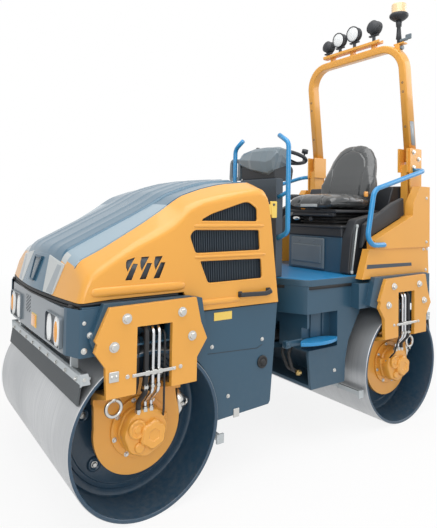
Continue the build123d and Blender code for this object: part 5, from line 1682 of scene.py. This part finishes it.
# soft seat: sections along one axis, then remeshed, swollen by cloth pressure, capped, seamed and subdivided
seatSet = {
    "voxel": 0.006, "pressure": 2.0, "frames": 14,
    # place along the pad, half width, half depth, middle of the depth, side bolster
    "backRows": [
        (1.54, 0.185, 0.03, -0.972, 0.01), (1.56, 0.216, 0.04, -0.976, 0.022),
        (1.625, 0.246, 0.047, -0.986, 0.046), (1.7, 0.252, 0.048, -0.998, 0.054),
        (1.77, 0.24, 0.046, -1.012, 0.036), (1.84, 0.228, 0.042, -1.028, 0.014),
        (1.9, 0.212, 0.039, -1.042, 0.004), (1.95, 0.182, 0.035, -1.053, 0.0),
        (1.985, 0.152, 0.029, -1.061, 0.0), (2.012, 0.105, 0.02, -1.067, 0.0),
        (2.022, 0.062, 0.013, -1.069, 0.0),
    ],
    "baseRows": [
        (-0.965, 0.19, 0.034, 1.556, 0.0), (-0.945, 0.222, 0.046, 1.556, 0.006),
        (-0.86, 0.236, 0.052, 1.557, 0.016), (-0.74, 0.24, 0.052, 1.558, 0.02),
        (-0.64, 0.238, 0.051, 1.558, 0.014), (-0.575, 0.23, 0.046, 1.554, 0.004),
        (-0.545, 0.208, 0.03, 1.548, 0.0),
    ],
    "middle": 0.172, "cap": 0.009,
    "held": (1.55, 1.518),                # heights under which back and base don't swell
    "pipe": (1.548, -0.7),                # seams of the base: height of one, x of the other
}


def padShape(rows, upright, middle):
    # rounded sections: across = w * c, depth = d * e, plus bolster * |c|^3 on the side sat on
    rows = np.asarray(rows, float)
    u = np.linspace(rows[0, 0], rows[-1, 0], 41)
    w, d, mid, bolster = (np.interp(u, rows[:, 0], rows[:, k])[:, None] for k in (1, 2, 3, 4))
    a = fullTurn(64)
    c = np.sign(np.cos(a)) * np.abs(np.cos(a)) ** 0.55
    e = np.sign(np.sin(a)) * np.abs(np.sin(a)) ** 0.75
    across = middle + w * c
    deep = mid + d * e + bolster * np.abs(c) ** 3 * (e > 0)
    along = u[:, None] + 0 * deep
    return capped(np.stack([deep, across, along] if upright else [along, across, deep], -1))


def swollenPad(name, shape, node, heldLow, seams):
    # cloth under pressure; each point goes its own way by at most the cap
    s = seatSet
    ob = rearPiece(name, shape, "seatVinyl")
    mod = ob.modifiers.new("voxels", "REMESH")
    mod.mode = "VOXEL"
    mod.voxel_size = s["voxel"]
    settle(ob)
    start = coordsOf(ob.data)
    group = ob.vertex_groups.new(name="held")
    group.add(np.nonzero(heldLow(start))[0].tolist(), 1.0, "REPLACE")
    cloth = ob.modifiers.new("cloth", "CLOTH")
    cloth.settings.use_pressure = True
    cloth.settings.uniform_pressure_force = s["pressure"]
    cloth.settings.effector_weights.gravity = 0
    cloth.settings.vertex_group_mass = "held"
    cloth.point_cache.frame_start, cloth.point_cache.frame_end = 1, s["frames"]
    for frameNumber in range(1, s["frames"] + 1):
        bpy.context.scene.frame_set(frameNumber)
    settle(ob)
    bpy.context.scene.frame_set(1)
    ob.vertex_groups.clear()
    moved = coordsOf(ob.data) - start
    far = np.linalg.norm(moved, axis=1)[:, None]
    points = start + moved * np.minimum(1, s["cap"] / np.maximum(far, 1e-9))
    ob.data.vertices.foreach_set("co", points.ravel())
    ob.data.update()
    carveSeams(ob, seams)
    ob.data.polygons.foreach_set("use_smooth", np.ones(len(ob.data.polygons), bool))
    mod = ob.modifiers.new("rounder", "SUBSURF")
    mod.levels = mod.render_levels = 1
    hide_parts(node)


def coordsOf(data):
    # the points as rows (x, y, z)
    points = np.empty(3 * len(data.vertices))
    data.vertices.foreach_get("co", points)
    return points.reshape(-1, 3)


def settle(ob):
    # the modifiers' result becomes the mesh itself
    data = bpy.data.meshes.new_from_object(ob.evaluated_get(bpy.context.evaluated_depsgraph_get()))
    ob.modifiers.clear()
    ob.data = data


def carveSeams(ob, seams):
    # every point near a seam sinks along its normal by depth * exp(-(distance / width)^2)
    points = coordsOf(ob.data)
    normals = np.empty(3 * len(points))
    ob.data.vertices.foreach_get("normal", normals)
    normals = normals.reshape(-1, 3)
    for distance, depth, width in seams:
        points -= normals * (depth * np.exp(-(distance(points, normals) / width) ** 2))[:, None]
    ob.data.vertices.foreach_set("co", points.ravel())
    ob.data.update()


def backSeams(points, normals):
    # two curves from the shoulders down to the foot of the back, on its front only
    y = np.abs(points[:, 1] - seatSet["middle"])
    line = np.interp(points[:, 2], [1.54, 1.6, 1.7, 1.78, 1.84, 1.9, 1.95, 1.985],
                     [0.12, 0.142, 0.15, 0.148, 0.16, 0.14, 0.09, 0.0])
    return np.abs(y - line) + (normals[:, 0] < 0.1)


def edgeSeam(along, value):
    # distance to a flat plane across one axis
    return lambda points, normals: np.abs(points[:, along] - value)


def backEdgeSeam(points, normals):
    # a line round the pad's side that leans with its middle: x = -1.005 - 0.21 * (height - 1.515)
    return np.abs(points[:, 0] + 1.005 + 0.21 * (points[:, 2] - 1.515))


def baseSeams(points, normals):
    # two lines along the cushion, on its top only
    y = np.abs(points[:, 1] - seatSet["middle"])
    line = np.interp(points[:, 0], [-0.95, -0.8, -0.62, -0.575], [0.13, 0.15, 0.15, 0.11])
    return np.abs(y - line) + (normals[:, 2] < 0.2)


swollenPad("seatBack", padShape(seatSet["backRows"], True, seatSet["middle"]), "seat_backrest",
           lambda p: p[:, 2] < seatSet["held"][0], [(backSeams, 0.007, 0.006), (backEdgeSeam, 0.002, 0.003)])
swollenPad("seatBase", padShape(seatSet["baseRows"], False, seatSet["middle"]), "seat_cushion",
           lambda p: p[:, 2] < seatSet["held"][1],
           [(baseSeams, 0.006, 0.006), (edgeSeam(2, seatSet["pipe"][0]), 0.003, 0.004),
            (edgeSeam(0, seatSet["pipe"][1]), 0.003, 0.005)])
print("seat")
